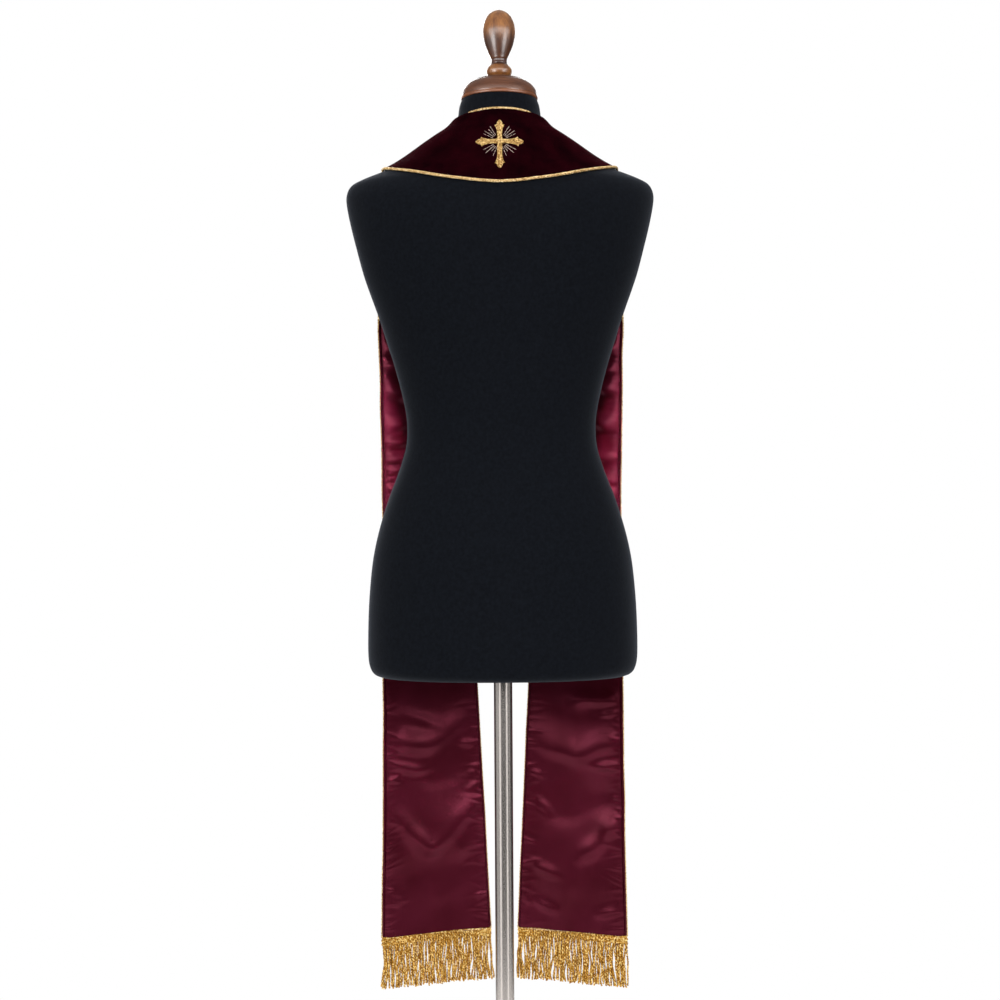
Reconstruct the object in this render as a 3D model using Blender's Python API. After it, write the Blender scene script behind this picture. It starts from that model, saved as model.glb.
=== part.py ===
"""A clerical stole laid over a limbless dress form on a steel stand.

The form stands on the origin, +Z up. The stole's two panels hang down its front, on the -Y
side, and the neck band with the cross lies over its back, on the +Y side. +X is the wearer's
left. Every size is in metres.
"""
import math
from collections import namedtuple

import bmesh
import bpy
import numpy as np
from mathutils import Vector
from mathutils.bvhtree import BVHTree

GAP = 0.0003                     # left between two pieces that touch

# Stand
PLATE_RADIUS = 0.200
PLATE_THICKNESS = 0.006
PLATE_BEVEL = 0.0015
COLLAR_RADIUS = 0.024
COLLAR_HEIGHT = 0.022
COLLAR_BEVEL = 0.002
POLE_RADIUS = 0.0118

# Form
TORSO_BOTTOM = 0.7770
TORSO_SEGMENTS = 36
BUST_CENTRE_X = 0.082
BUST_CENTRE_Z = 1.245
BUST_SPREAD = 0.042
BUST_PROUD = 0.034
TURNED_SEGMENTS = 24

# Cloth
VELVET_THICKNESS = 0.0015
LINING_THICKNESS = 0.0010
AIR_UNDER_CLOTH = 0.0010         # between the lining and the form where it lies on it
CORD_RADIUS = 0.0019
CORD_SIDES = 6
WALL_COLUMNS = 7                 # quads across a panel
BODY_ROWS = 26                   # rows of quads from the centre back to the bust
HANGING_ROWS = 22                # rows of quads from the bust to the hem
CLEARING_ROUNDS = 4
BODY_STATIONS = 18               # stations of the table that lie on the form
LIE_FREE = 0.05                  # share of the width at each edge that never hugs the form
LIE_RAMP = 0.20                  # share of the width over which the hug grows to its full value
FOLD_SPAN = 0.14                 # panel width that the folds' places across are shares of

# Fringe
FRINGE_HEAD = 0.008
FRINGE_LENGTH = 0.0685           # from the hem to the strands' ends
FRINGE_STRANDS = 42              # on each panel
FRINGE_FILL = 0.66               # share of the pitch that a strand takes
FRINGE_STEPS = 2
FRINGE_FLARE = 0.055             # how much wider the strands' ends spread than the hem
FRINGE_UNEVEN = 0.0022           # how far the ends differ in length
FRINGE_SWAY = 0.0004             # how far a strand strays from straight

# Cross
CROSS_CENTRE_Z = 1.4405
CROSS_SIDE_ARM = 0.0290
CROSS_TOP_ARM = 0.0290           # as seen from behind, on the sloping neck band
CROSS_FOOT_ARM = 0.0358
CROSS_PROUD = 0.0012
CROSS_START_Y = 0.30             # behind the band, where its points set out from
BAND_DEPTH = 0.001               # of the wall that the cross is laid on

STACK = VELVET_THICKNESS + GAP + LINING_THICKNESS
EDGE_INSET = 2 * CORD_RADIUS + GAP

Section = namedtuple("Section", "height half_width front back power")
TORSO_SECTIONS = [
    Section(1.5105, 0.0480, 0.0500, 0.0500, 2.00),
    Section(1.5020, 0.0511, 0.0515, 0.0520, 2.00),
    Section(1.4900, 0.0528, 0.0550, 0.0560, 2.00),
    Section(1.4820, 0.0546, 0.0575, 0.0592, 2.00),
    Section(1.4763, 0.0590, 0.0602, 0.0618, 1.95),
    Section(1.4688, 0.0702, 0.0635, 0.0665, 1.85),
    Section(1.4588, 0.0866, 0.0680, 0.0725, 1.78),
    Section(1.4488, 0.1010, 0.0725, 0.0780, 1.72),
    Section(1.4388, 0.1148, 0.0765, 0.0832, 1.68),
    Section(1.4288, 0.1295, 0.0805, 0.0880, 1.66),
    Section(1.4208, 0.1445, 0.0840, 0.0914, 1.66),
    Section(1.4145, 0.1620, 0.0867, 0.0940, 1.68),
    Section(1.4077, 0.1790, 0.0893, 0.0966, 1.72),
    Section(1.4008, 0.1904, 0.0922, 0.0990, 1.80),
    Section(1.3900, 0.1957, 0.0960, 0.1018, 1.92),
    Section(1.3760, 0.1956, 0.1005, 0.1050, 2.03),
    Section(1.3500, 0.1906, 0.1080, 0.1080, 2.14),
    Section(1.3200, 0.1832, 0.1150, 0.1076, 2.20),
    Section(1.2890, 0.1750, 0.1210, 0.1050, 2.20),
    Section(1.2685, 0.1682, 0.1240, 0.1025, 2.20),
    Section(1.2480, 0.1608, 0.1250, 0.1000, 2.20),
    Section(1.2280, 0.1538, 0.1222, 0.0970, 2.20),
    Section(1.2000, 0.1450, 0.1145, 0.0922, 2.16),
    Section(1.1740, 0.1368, 0.1062, 0.0880, 2.14),
    Section(1.1430, 0.1285, 0.0975, 0.0836, 2.12),
    Section(1.1125, 0.1220, 0.0908, 0.0807, 2.10),
    Section(1.0895, 0.1202, 0.0885, 0.0800, 2.10),
    Section(1.0665, 0.1222, 0.0898, 0.0822, 2.12),
    Section(1.0360, 0.1315, 0.0932, 0.0880, 2.16),
    Section(1.0050, 0.1435, 0.0968, 0.0960, 2.20),
    Section(0.9740, 0.1535, 0.0998, 0.1040, 2.25),
    Section(0.9440, 0.1612, 0.1020, 0.1108, 2.30),
    Section(0.9130, 0.1664, 0.1038, 0.1160, 2.32),
    Section(0.8670, 0.1703, 0.1050, 0.1188, 2.35),
    Section(0.8210, 0.1717, 0.1045, 0.1175, 2.35),
    Section(0.7980, 0.1711, 0.1035, 0.1155, 2.35),
    Section(0.7865, 0.1684, 0.1010, 0.1130, 2.35),
    Section(0.7800, 0.1638, 0.0965, 0.1085, 2.32),
    Section(TORSO_BOTTOM, 0.1570, 0.0895, 0.1015, 2.30),
]

# Height above the piece's foot and radius of each turned wooden piece.
Turning = namedtuple("Turning", "height radius")
NECK_CAP_TURNING = [
    Turning(0.0000, 0.0476),
    Turning(0.0009, 0.0490),
    Turning(0.0034, 0.0490),
    Turning(0.0043, 0.0480),
    Turning(0.0105, 0.0473),
    Turning(0.0150, 0.0452),
    Turning(0.0185, 0.0424),
    Turning(0.0215, 0.0382),
    Turning(0.0232, 0.0345),
    Turning(0.0240, 0.0330),
    Turning(0.0256, 0.0300),
    Turning(0.0268, 0.0240),
    Turning(0.0273, 0.0185),
]
FINIAL_TURNING = [
    Turning(0.0000, 0.0150),
    Turning(0.0030, 0.0156),
    Turning(0.0064, 0.0160),
    Turning(0.0100, 0.0163),
    Turning(0.0130, 0.0155),
    Turning(0.0157, 0.0134),
    Turning(0.0184, 0.0111),
    Turning(0.0222, 0.0099),
    Turning(0.0265, 0.0108),
    Turning(0.0334, 0.0140),
    Turning(0.0424, 0.0178),
    Turning(0.0514, 0.0201),
    Turning(0.0594, 0.0210),
    Turning(0.0674, 0.0203),
    Turning(0.0744, 0.0183),
    Turning(0.0804, 0.0149),
    Turning(0.0846, 0.0100),
    Turning(0.0870, 0.0052),
]
FINIAL_TOP = 0.0880

# The stole's finished edges on the wearer's left, from the centre back over the shoulder and
# down the front to the hem. Bulge is how far the middle of the section stands out of the
# straight line between them, and lie is how closely the cloth follows the form, from 0 to 1.
Station = namedtuple("Station", "inner_x inner_y inner_z outer_x outer_y outer_z bulge lie")
STATIONS = [
    Station(0.0000, 0.0580, 1.4903, 0.0000, 0.1057, 1.3867, 0.004, 1.0),
    Station(0.0102, 0.0569, 1.4902, 0.0248, 0.1042, 1.3885, 0.004, 1.0),
    Station(0.0200, 0.0538, 1.4898, 0.0496, 0.0999, 1.3922, 0.004, 1.0),
    Station(0.0290, 0.0486, 1.4888, 0.0746, 0.0929, 1.3970, 0.004, 1.0),
    Station(0.0364, 0.0424, 1.4878, 0.0998, 0.0815, 1.4036, 0.005, 1.0),
    Station(0.0426, 0.0349, 1.4866, 0.1197, 0.0675, 1.4092, 0.005, 1.0),
    Station(0.0471, 0.0272, 1.4858, 0.1325, 0.0538, 1.4128, 0.005, 1.0),
    Station(0.0504, 0.0189, 1.4855, 0.1426, 0.0355, 1.4160, 0.005, 1.0),
    Station(0.0525, 0.0101, 1.4853, 0.1488, 0.0152, 1.4180, 0.005, 1.0),
    Station(0.0533, 0.0000, 1.4848, 0.1511, -0.0060, 1.4176, 0.006, 1.0),
    Station(0.0540, -0.0120, 1.4823, 0.1530, -0.0335, 1.4106, 0.007, 0.9),
    Station(0.0555, -0.0265, 1.4760, 0.1550, -0.0545, 1.3950, 0.008, 0.6),
    Station(0.0585, -0.0440, 1.4655, 0.1572, -0.0680, 1.3725, 0.009, 0.3),
    Station(0.0620, -0.0620, 1.4475, 0.1590, -0.0770, 1.3430, 0.010, 0.1),
    Station(0.0648, -0.0800, 1.4180, 0.1608, -0.0825, 1.3080, 0.012, 0.0),
    Station(0.0655, -0.1000, 1.3730, 0.1628, -0.0885, 1.2760, 0.014, 0.0),
    Station(0.0640, -0.1250, 1.3180, 0.1640, -0.0925, 1.2500, 0.016, 0.0),
    Station(0.0610, -0.1470, 1.2630, 0.1646, -0.0950, 1.2220, 0.016, 0.0),
    Station(0.0565, -0.1510, 1.1900, 0.1640, -0.0970, 1.1700, 0.015, 0.0),
    Station(0.0505, -0.1505, 1.0800, 0.1611, -0.0990, 1.0680, 0.012, 0.0),
    Station(0.0440, -0.1500, 0.9400, 0.1604, -0.1005, 0.9320, 0.010, 0.0),
    Station(0.0340, -0.1500, 0.7450, 0.1620, -0.1025, 0.7390, 0.008, 0.0),
    Station(0.0252, -0.1500, 0.5700, 0.1631, -0.1045, 0.5640, 0.006, 0.0),
    Station(0.0176, -0.1500, 0.4160, 0.1660, -0.1065, 0.4140, 0.004, 0.0),
]

# Large soft folds of the hanging panels: where the middle of each lies (its height, and its
# place across from 0 at the inner edge to 1 at the outer), how it slopes, its half length
# across and half width, and how far the cloth is pushed towards the form (or away, if less
# than zero).
Fold = namedtuple("Fold", "height across slope half_length half_width depth")
LEFT_FOLDS = [
    Fold(1.170, 0.85, 0.10, 0.045, 0.022, 0.0030),
    Fold(1.030, 0.60, -0.20, 0.060, 0.030, -0.0028),
    Fold(0.690, 0.72, 0.30, 0.050, 0.022, 0.0034),
    Fold(0.560, 0.40, -0.45, 0.055, 0.024, 0.0038),
    Fold(0.480, 0.65, 0.10, 0.060, 0.030, -0.0025),
]
RIGHT_FOLDS = [
    Fold(1.185, 0.82, -0.12, 0.045, 0.022, 0.0030),
    Fold(1.050, 0.55, 0.22, 0.060, 0.030, -0.0026),
    Fold(0.664, 0.45, -0.20, 0.060, 0.022, 0.0042),
    Fold(0.600, 0.75, 0.25, 0.050, 0.024, -0.0030),
    Fold(0.505, 0.35, 0.15, 0.055, 0.026, 0.0030),
]

# One arm of the cross: how far along it, from its root to its tip, and the half width there as
# a share of a side arm's length, with the flared shoulder and the pointed tip.
ArmPoint = namedtuple("ArmPoint", "reach half_width")
CROSS_ARM = [
    ArmPoint(0.000, 0.117),
    ArmPoint(0.220, 0.100),
    ArmPoint(0.460, 0.108),
    ArmPoint(0.660, 0.155),
    ArmPoint(0.770, 0.228),
    ArmPoint(0.820, 0.172),
    ArmPoint(0.905, 0.128),
    ArmPoint(1.000, 0.030),
]


def remove_everything():
    for obj in list(bpy.data.objects):
        bpy.data.objects.remove(obj, do_unlink=True)


def make_material(name, color, roughness, metallic=0.0):
    material = bpy.data.materials.new(name)
    material.use_nodes = True
    shader = material.node_tree.nodes["Principled BSDF"]
    shader.inputs["Base Color"].default_value = (*color, 1.0)
    shader.inputs["Roughness"].default_value = roughness
    shader.inputs["Metallic"].default_value = metallic
    return material


def add_object(name, bm, material, parent, location=(0.0, 0.0, 0.0)):
    bmesh.ops.recalc_face_normals(bm, faces=bm.faces)
    mesh = bpy.data.meshes.new(name)
    bm.to_mesh(mesh)
    bm.free()
    mesh.materials.append(material)
    mesh.shade_smooth()
    mesh.set_sharp_from_angle(angle=math.radians(40))
    obj = bpy.data.objects.new(name, mesh)
    bpy.context.scene.collection.objects.link(obj)
    obj.parent = parent
    obj.location = location
    return obj


def smooth_through(knots, values, samples):
    """Cubic curve through the rows of values at the knots, read at the samples."""
    knots = np.asarray(knots, float)
    values = np.asarray(values, float)
    steps = np.diff(knots)
    secants = np.diff(values, axis=0) / steps[:, None]
    slopes = np.empty_like(values)
    slopes[0] = secants[0]
    slopes[-1] = secants[-1]
    before = steps[:-1, None]
    after = steps[1:, None]
    slopes[1:-1] = (secants[:-1] * after + secants[1:] * before) / (before + after)
    samples = np.clip(samples, knots[0], knots[-1])
    index = np.clip(np.searchsorted(knots, samples, side="right") - 1, 0, len(steps) - 1)
    width = steps[index][:, None]
    u = ((samples - knots[index]) / steps[index])[:, None]
    start = values[index]
    end = values[index + 1]
    return (start * (2 * u**3 - 3 * u**2 + 1) + end * (3 * u**2 - 2 * u**3)
            + slopes[index] * width * (u**3 - 2 * u**2 + u)
            + slopes[index + 1] * width * (u**3 - u**2))


def add_ring(bm, points):
    return [bm.verts.new(point) for point in points]


def bridge_rings(bm, lower, upper):
    count = len(lower)
    for i in range(count):
        j = (i + 1) % count
        bm.faces.new((lower[i], lower[j], upper[j], upper[i]))


def turned_solid(profile, segments, pointed_top=None, bore=None):
    """Solid turned about Z from (height, radius) rows, bottom to top, or a ring round a bore."""
    bm = bmesh.new()
    angles = [2 * math.pi * i / segments for i in range(segments)]
    rings = []
    for height, radius in profile:
        rings.append(add_ring(bm, [(radius * math.cos(a), radius * math.sin(a), height)
                                   for a in angles]))
    for lower, upper in zip(rings, rings[1:]):
        bridge_rings(bm, lower, upper)
    if bore is not None:
        bottom, top = profile[0][0], profile[-1][0]
        inner = [add_ring(bm, [(bore * math.cos(a), bore * math.sin(a), height) for a in angles])
                 for height in (bottom, top)]
        bridge_rings(bm, inner[0], inner[1])
        bridge_rings(bm, rings[0], inner[0])
        bridge_rings(bm, rings[-1], inner[1])
        return bm
    bm.faces.new(rings[0])
    if pointed_top is None:
        bm.faces.new(rings[-1])
    else:
        tip = bm.verts.new((0.0, 0.0, pointed_top))
        for i in range(segments):
            bm.faces.new((rings[-1][i], rings[-1][(i + 1) % segments], tip))
    return bm


def torso_ring(section):
    """Horizontal section of the form: a superellipse with a soft bust on the front half."""
    points = []
    for i in range(TORSO_SEGMENTS):
        angle = 2 * math.pi * i / TORSO_SEGMENTS
        c, s = math.cos(angle), math.sin(angle)
        depth = section.back if s > 0 else section.front
        x = section.half_width * math.copysign(abs(c) ** (2 / section.power), c)
        y = depth * math.copysign(abs(s) ** (2 / section.power), s)
        if s < 0:
            drop = (section.height - BUST_CENTRE_Z) ** 2
            for side in (-1, 1):
                away = (x - side * BUST_CENTRE_X) ** 2 + drop
                y += s * BUST_PROUD * math.exp(-away / (2 * BUST_SPREAD ** 2))
        points.append((x, y, section.height))
    return points


def torso_solid():
    bm = bmesh.new()
    rings = [add_ring(bm, torso_ring(section)) for section in TORSO_SECTIONS]
    for upper, lower in zip(rings, rings[1:]):
        bridge_rings(bm, lower, upper)
    bm.faces.new(rings[0])
    bm.faces.new(rings[-1])
    bmesh.ops.triangulate(bm, faces=bm.faces)
    bmesh.ops.recalc_face_normals(bm, faces=bm.faces)
    return bm


def clear_of(tree, point, distance, hug=0.0):
    """Move a point out of the form until it is the distance away, or back onto it by hug."""
    nearest, normal, _, _ = tree.find_nearest(point)
    away = point - nearest
    reach = away.length
    inside = away.dot(normal) < 0
    if reach > 1e-9:
        normal = away / reach if not inside else -away / reach
    if inside or reach < distance:
        return nearest + normal * distance
    return point.lerp(nearest + normal * distance, hug)


def station_curves(rows_on_body, rows_hanging):
    """The stations' columns, read smoothly at each row of the grid."""
    table = np.array(STATIONS)
    middle = (table[:, 0:3] + table[:, 3:6]) / 2
    lengths = np.linalg.norm(np.diff(middle, axis=0), axis=1)
    knots = np.concatenate([[0.0], np.cumsum(lengths)])
    bust = knots[BODY_STATIONS - 1]
    samples = np.concatenate([
        np.linspace(0.0, bust, rows_on_body + 1),
        np.linspace(bust, knots[-1], rows_hanging + 1)[1:],
    ])
    return smooth_through(knots, table, samples)


def cloth_normals(grid):
    """Outward direction at each point; an edge and its cord share their neighbour's."""
    along = np.gradient(grid, axis=0)
    across = np.gradient(grid, axis=1)
    normals = np.cross(along, across)
    normals /= np.linalg.norm(normals, axis=2, keepdims=True)
    normals[:, :2] = normals[:, 2:3]
    normals[:, -2:] = normals[:, -3:-2]
    return normals


def fold_offset(folds, place, across):
    """How far the folds push the cloth towards the form at a place of the hanging panel."""
    push = 0.0
    for fold in folds:
        sideways = (across - fold.across) * FOLD_SPAN
        lift = place[2] - fold.height - fold.slope * sideways
        push += fold.depth * math.exp(-(sideways / fold.half_length) ** 2
                                      - (lift / fold.half_width) ** 2)
    return push


def smoothed(grid, rounds):
    """Even out the cloth along its length, moving each point only square to the cloth."""
    for _ in range(rounds):
        outward = cloth_normals(grid)
        even = grid.copy()
        even[1:-1] = (grid[:-2] + 2 * grid[1:-1] + grid[2:]) / 4
        rise = np.sum((even - grid) * outward, axis=2, keepdims=True)
        grid = grid + outward * rise
    return grid


def face_grid(tree, folds):
    """The outer face of one stole half, on the wearer's left.

    Columns run from the inner cord's centre line over the velvet to the outer cord's.
    """
    curves = station_curves(BODY_ROWS, HANGING_ROWS)
    columns = WALL_COLUMNS + 3
    grid = np.zeros((len(curves), columns, 3))
    shares = np.zeros((len(curves), columns))
    for row, values in enumerate(curves):
        inner, outer, bulge = values[0:3], values[3:6], values[6]
        width = np.linalg.norm(outer - inner)
        wall = np.linspace(EDGE_INSET, width - EDGE_INSET, WALL_COLUMNS + 1)
        shares[row] = np.concatenate([[CORD_RADIUS], wall, [width - CORD_RADIUS]]) / width
        grid[row] = inner + shares[row][:, None] * (outer - inner)
        shares[row, 0] = shares[row, 1]
        shares[row, -1] = shares[row, -2]
    outward = cloth_normals(grid)
    bulges = curves[:, 6][:, None] * 4 * shares * (1 - shares)
    grid += outward * bulges[:, :, None]
    lift = STACK + AIR_UNDER_CLOTH
    for smoothing in (2, 1, 0):
        for row in range(len(grid)):
            for column in range(columns):
                share = shares[row, column]
                lie = curves[row, 7] * min(1.0, max(0.0, (share - LIE_FREE) / LIE_RAMP))
                grid[row, column] = clear_of(tree, Vector(grid[row, column]), lift, lie)
        grid = smoothed(grid, smoothing)
    outward = cloth_normals(grid)
    for row in range(len(grid)):
        for column in range(columns):
            push = fold_offset(folds, grid[row, column], shares[row, column])
            grid[row, column] -= outward[row, column] * push
    return cleared_between(tree, grid)


def cleared_between(tree, grid):
    """Push the cloth out where the form's curve would cut it between the grid's points."""
    steps = [(i / 4, j / 4) for i in range(5) for j in range(5)]
    depth = np.full((grid.shape[1], 1), STACK)
    depth[0] = depth[-1] = STACK / 2 + CORD_RADIUS
    for _ in range(CLEARING_ROUNDS):
        outward = cloth_normals(grid)
        under = grid - outward * depth
        shift = np.zeros(grid.shape[:2])
        for row in range(len(grid) - 1):
            for column in range(grid.shape[1] - 1):
                a, b = under[row, column:column + 2]
                d, e = under[row + 1, column:column + 2]
                short = 0.0
                for u, v in steps:
                    place = a + v * (b - a) + u * (e - b)
                    if v <= u:
                        place = a + u * (d - a) + v * (e - d)
                    moved = clear_of(tree, Vector(place), AIR_UNDER_CLOTH / 2)
                    short = max(short, (moved - Vector(place)).length)
                block = shift[row:row + 2, column:column + 2]
                np.maximum(block, short, out=block)
        grid = grid + outward * shift[:, :, None]
    return grid


def mirrored(grid):
    return grid * np.array([-1.0, 1.0, 1.0])


def wall_solid(front, back):
    """Closed wall between two grids of the same shape."""
    bm = bmesh.new()
    rows, columns = front.shape[:2]
    faces = []
    for grid in (front, back):
        faces.append([[bm.verts.new(point) for point in line] for line in grid])
    for verts in faces:
        for r in range(rows - 1):
            for c in range(columns - 1):
                a, b = verts[r][c], verts[r][c + 1]
                d, e = verts[r + 1][c], verts[r + 1][c + 1]
                bm.faces.new((a, b, e))
                bm.faces.new((a, e, d))
    rim = [(r, 0) for r in range(rows)]
    rim += [(rows - 1, c) for c in range(1, columns)]
    rim += [(r, columns - 1) for r in range(rows - 2, -1, -1)]
    rim += [(0, c) for c in range(columns - 2, 0, -1)]
    for (r, c), (r2, c2) in zip(rim, rim[1:] + rim[:1]):
        bm.faces.new((faces[0][r][c], faces[0][r2][c2], faces[1][r2][c2], faces[1][r][c]))
    bmesh.ops.recalc_face_normals(bm, faces=bm.faces)
    return bm


def tube_solid(path, radius, sides):
    """Tube along a path, its ends closed flat."""
    bm = bmesh.new()
    tangents = np.gradient(path, axis=0)
    tangents[0, 1:] = 0.0
    tangents /= np.linalg.norm(tangents, axis=1, keepdims=True)
    side = np.cross(tangents[0], (0.0, 0.0, 1.0))
    rings = []
    for centre, tangent in zip(path, tangents):
        side = side - tangent * side.dot(tangent)
        side /= np.linalg.norm(side)
        other = np.cross(tangent, side)
        ring = []
        for i in range(sides):
            angle = 2 * math.pi * i / sides
            ring.append(centre + radius * (math.cos(angle) * side + math.sin(angle) * other))
        rings.append(add_ring(bm, ring))
    for lower, upper in zip(rings, rings[1:]):
        bridge_rings(bm, lower, upper)
    bm.faces.new(rings[0])
    bm.faces.new(rings[-1])
    return bm


def cord_path(grid, outward, column):
    """Centre line of an edge cord, level with the middle of the cloth's thickness."""
    path = grid[:, column] - outward[:, column] * STACK / 2
    path[0, 0] = GAP / 2
    return path


def seat_edge(grid, outward, edge):
    """Lay the wall's edge column beside its cord; edge is 1 at the inner side, else -2."""
    cord, beyond = (0, 2) if edge == 1 else (-1, -3)
    side = outward[:, edge]
    rise = np.sum((grid[:, edge] - grid[:, cord]) * side, axis=1, keepdims=True)
    along = np.gradient(grid[:, cord], axis=0)
    along /= np.linalg.norm(along, axis=1, keepdims=True)
    across = grid[:, beyond] - grid[:, cord]
    for axis in (along, side):
        across -= axis * np.sum(across * axis, axis=1, keepdims=True)
    across /= np.linalg.norm(across, axis=1, keepdims=True)
    grid[:, edge] = grid[:, cord] + across * (CORD_RADIUS + 2 * GAP) + side * rise


def fringe_solid(hem_front, hem_back, down, side):
    """Heading strip along the hem with four-sided strands that grow out of its underside."""
    bm = bmesh.new()
    marks = [0.0]
    for strand in range(FRINGE_STRANDS):
        marks.append((strand + (1 - FRINGE_FILL) / 2) / FRINGE_STRANDS)
        marks.append((strand + (1 + FRINGE_FILL) / 2) / FRINGE_STRANDS)
    marks.append(1.0)
    knots = np.linspace(0.0, 1.0, len(hem_front))
    edges = [[Vector(point) for point in smooth_through(knots, hem, np.array(marks))]
             for hem in (hem_front, hem_back)]
    top = [[bm.verts.new(p + down * GAP) for p in edge] for edge in edges]
    foot = [[bm.verts.new(p + down * (GAP + FRINGE_HEAD)) for p in edge] for edge in edges]
    last = len(marks) - 1
    for i in range(last):
        bm.faces.new((top[0][i], top[0][i + 1], top[1][i + 1], top[1][i]))
        for k in (0, 1):
            bm.faces.new((top[k][i], top[k][i + 1], foot[k][i + 1], foot[k][i]))
    for i in (0, last):
        bm.faces.new((top[0][i], top[1][i], foot[1][i], foot[0][i]))
    middle = (edges[0][0] + edges[0][-1]) / 2
    for i in range(last):
        corners = [foot[0][i], foot[0][i + 1], foot[1][i + 1], foot[1][i]]
        if i % 2 == 0:
            bm.faces.new(corners)
            continue
        ragged = math.sin(2.7 * i + side) * math.sin(1.3 * i)
        drop = FRINGE_LENGTH - GAP - FRINGE_HEAD + FRINGE_UNEVEN * ragged
        spread = (edges[0][i] - middle) * FRINGE_FLARE
        ring = corners
        for step in range(1, FRINGE_STEPS + 1):
            share = step / FRINGE_STEPS
            sway = FRINGE_SWAY * math.sin(0.9 * i + 2.0 * step) * share
            shift = down * (drop * share) + spread * share + Vector((0.0, sway, 0.0))
            below = [bm.verts.new(corner.co + shift) for corner in corners]
            bridge_rings(bm, ring, below)
            ring = below
        bm.faces.new(ring)
    return bm


def cross_solid(velvet_tree):
    """The cross, its points laid on the neck band from behind and moved out of it."""
    def lay(u, v, out):
        start = Vector((u, CROSS_START_Y, CROSS_CENTRE_Z + v))
        hit, normal, _, _ = velvet_tree.ray_cast(start, Vector((0.0, -1.0, 0.0)))
        return hit + Vector((0.0, normal.y, normal.z)).normalized() * out

    bm = bmesh.new()
    layers = (GAP, GAP + CROSS_PROUD)
    placed = {}

    def pair(u, v):
        key = (round(u, 6), round(v, 6))
        if key not in placed:
            placed[key] = [bm.verts.new(lay(u, v, out)) for out in layers]
        return placed[key]

    centre = pair(0.0, 0.0)
    root = CROSS_SIDE_ARM * CROSS_ARM[0].half_width
    arms = (CROSS_SIDE_ARM, CROSS_TOP_ARM, CROSS_SIDE_ARM, CROSS_FOOT_ARM)
    for turn, length in enumerate(arms):
        c, s = ((1, 0), (0, 1), (-1, 0), (0, -1))[turn]
        strips = []
        for point in CROSS_ARM:
            along = root + (length - root) * point.reach
            half = CROSS_SIDE_ARM * point.half_width
            strips.append([pair(along * c - across * s, along * s + across * c)
                           for across in (-half, 0.0, half)])
        first, tip = strips[0], strips[-1]
        for k in (0, 1):
            bm.faces.new((tip[k][0], tip[k + 1][0], tip[k + 1][1], tip[k][1]))
            for level in (0, 1):
                bm.faces.new((centre[level], first[k][level], first[k + 1][level]))
        for near, far in zip(strips, strips[1:]):
            for k in (0, 2):
                bm.faces.new((near[k][0], far[k][0], far[k][1], near[k][1]))
            for k in (0, 1):
                for level in (0, 1):
                    bm.faces.new((near[k][level], far[k][level],
                                  far[k + 1][level], near[k + 1][level]))
    bmesh.ops.triangulate(bm, faces=bm.faces)
    return bm


def build_stand(parent, steel):
    plate = [
        (0.0, PLATE_RADIUS),
        (PLATE_THICKNESS - PLATE_BEVEL, PLATE_RADIUS),
        (PLATE_THICKNESS, PLATE_RADIUS - PLATE_BEVEL),
    ]
    add_object("base_plate", turned_solid(plate, 2 * TURNED_SEGMENTS), steel, parent)
    collar = [
        (0.0, COLLAR_RADIUS),
        (COLLAR_HEIGHT - COLLAR_BEVEL, COLLAR_RADIUS),
        (COLLAR_HEIGHT, COLLAR_RADIUS - COLLAR_BEVEL),
    ]
    foot = PLATE_THICKNESS + GAP
    add_object("base_collar", turned_solid(collar, TURNED_SEGMENTS, bore=POLE_RADIUS + GAP),
               steel, parent, (0.0, 0.0, foot))
    pole = [(0.0, POLE_RADIUS), (TORSO_BOTTOM - GAP - foot, POLE_RADIUS)]
    add_object("pole", turned_solid(pole, TURNED_SEGMENTS), steel, parent, (0.0, 0.0, foot))


def build_form(parent, jersey, wood):
    add_object("form_torso", torso_solid(), jersey, parent)
    cap_foot = TORSO_SECTIONS[0].height + GAP
    add_object("neck_cap", turned_solid(NECK_CAP_TURNING, TURNED_SEGMENTS), wood,
               parent, (0.0, 0.0, cap_foot))
    finial_foot = cap_foot + NECK_CAP_TURNING[-1].height + GAP
    add_object("finial", turned_solid(FINIAL_TURNING, TURNED_SEGMENTS, FINIAL_TOP), wood,
               parent, (0.0, 0.0, finial_foot))


def build_half(name, side, grid, parent, materials):
    """Velvet, lining, cords and fringe of one half; side is 1 on the wearer's left, else -1."""
    outward = cloth_normals(grid)

    def placed(points):
        return points if side > 0 else mirrored(points)

    def layer(depth):
        face = grid - outward * depth
        face[0, :, 0] = GAP / 2
        return placed(face[:, 1:-1])

    for edge, column, wall_edge in (("inner", 0, 1), ("outer", -1, -2)):
        seat_edge(grid, outward, wall_edge)
        path = cord_path(grid, outward, column)
        add_object(edge + "_cord_" + name, tube_solid(placed(path), CORD_RADIUS, CORD_SIDES),
                   materials["gold"], parent)
    lining_top = VELVET_THICKNESS + GAP
    add_object("velvet_" + name, wall_solid(layer(0.0), layer(VELVET_THICKNESS)),
               materials["velvet"], parent)
    add_object("lining_" + name, wall_solid(layer(lining_top), layer(STACK)),
               materials["satin"], parent)
    hem_front = placed(grid[-1:])[0]
    hem_back = placed(grid[-1:] - outward[-1:] * STACK)[0]
    fall = grid[-1:, WALL_COLUMNS // 2] - grid[-2:-1, WALL_COLUMNS // 2]
    down = Vector(placed(fall)[0]).normalized()
    add_object("fringe_" + name, fringe_solid(hem_front, hem_back, down, side),
               materials["gold"], parent)


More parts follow.
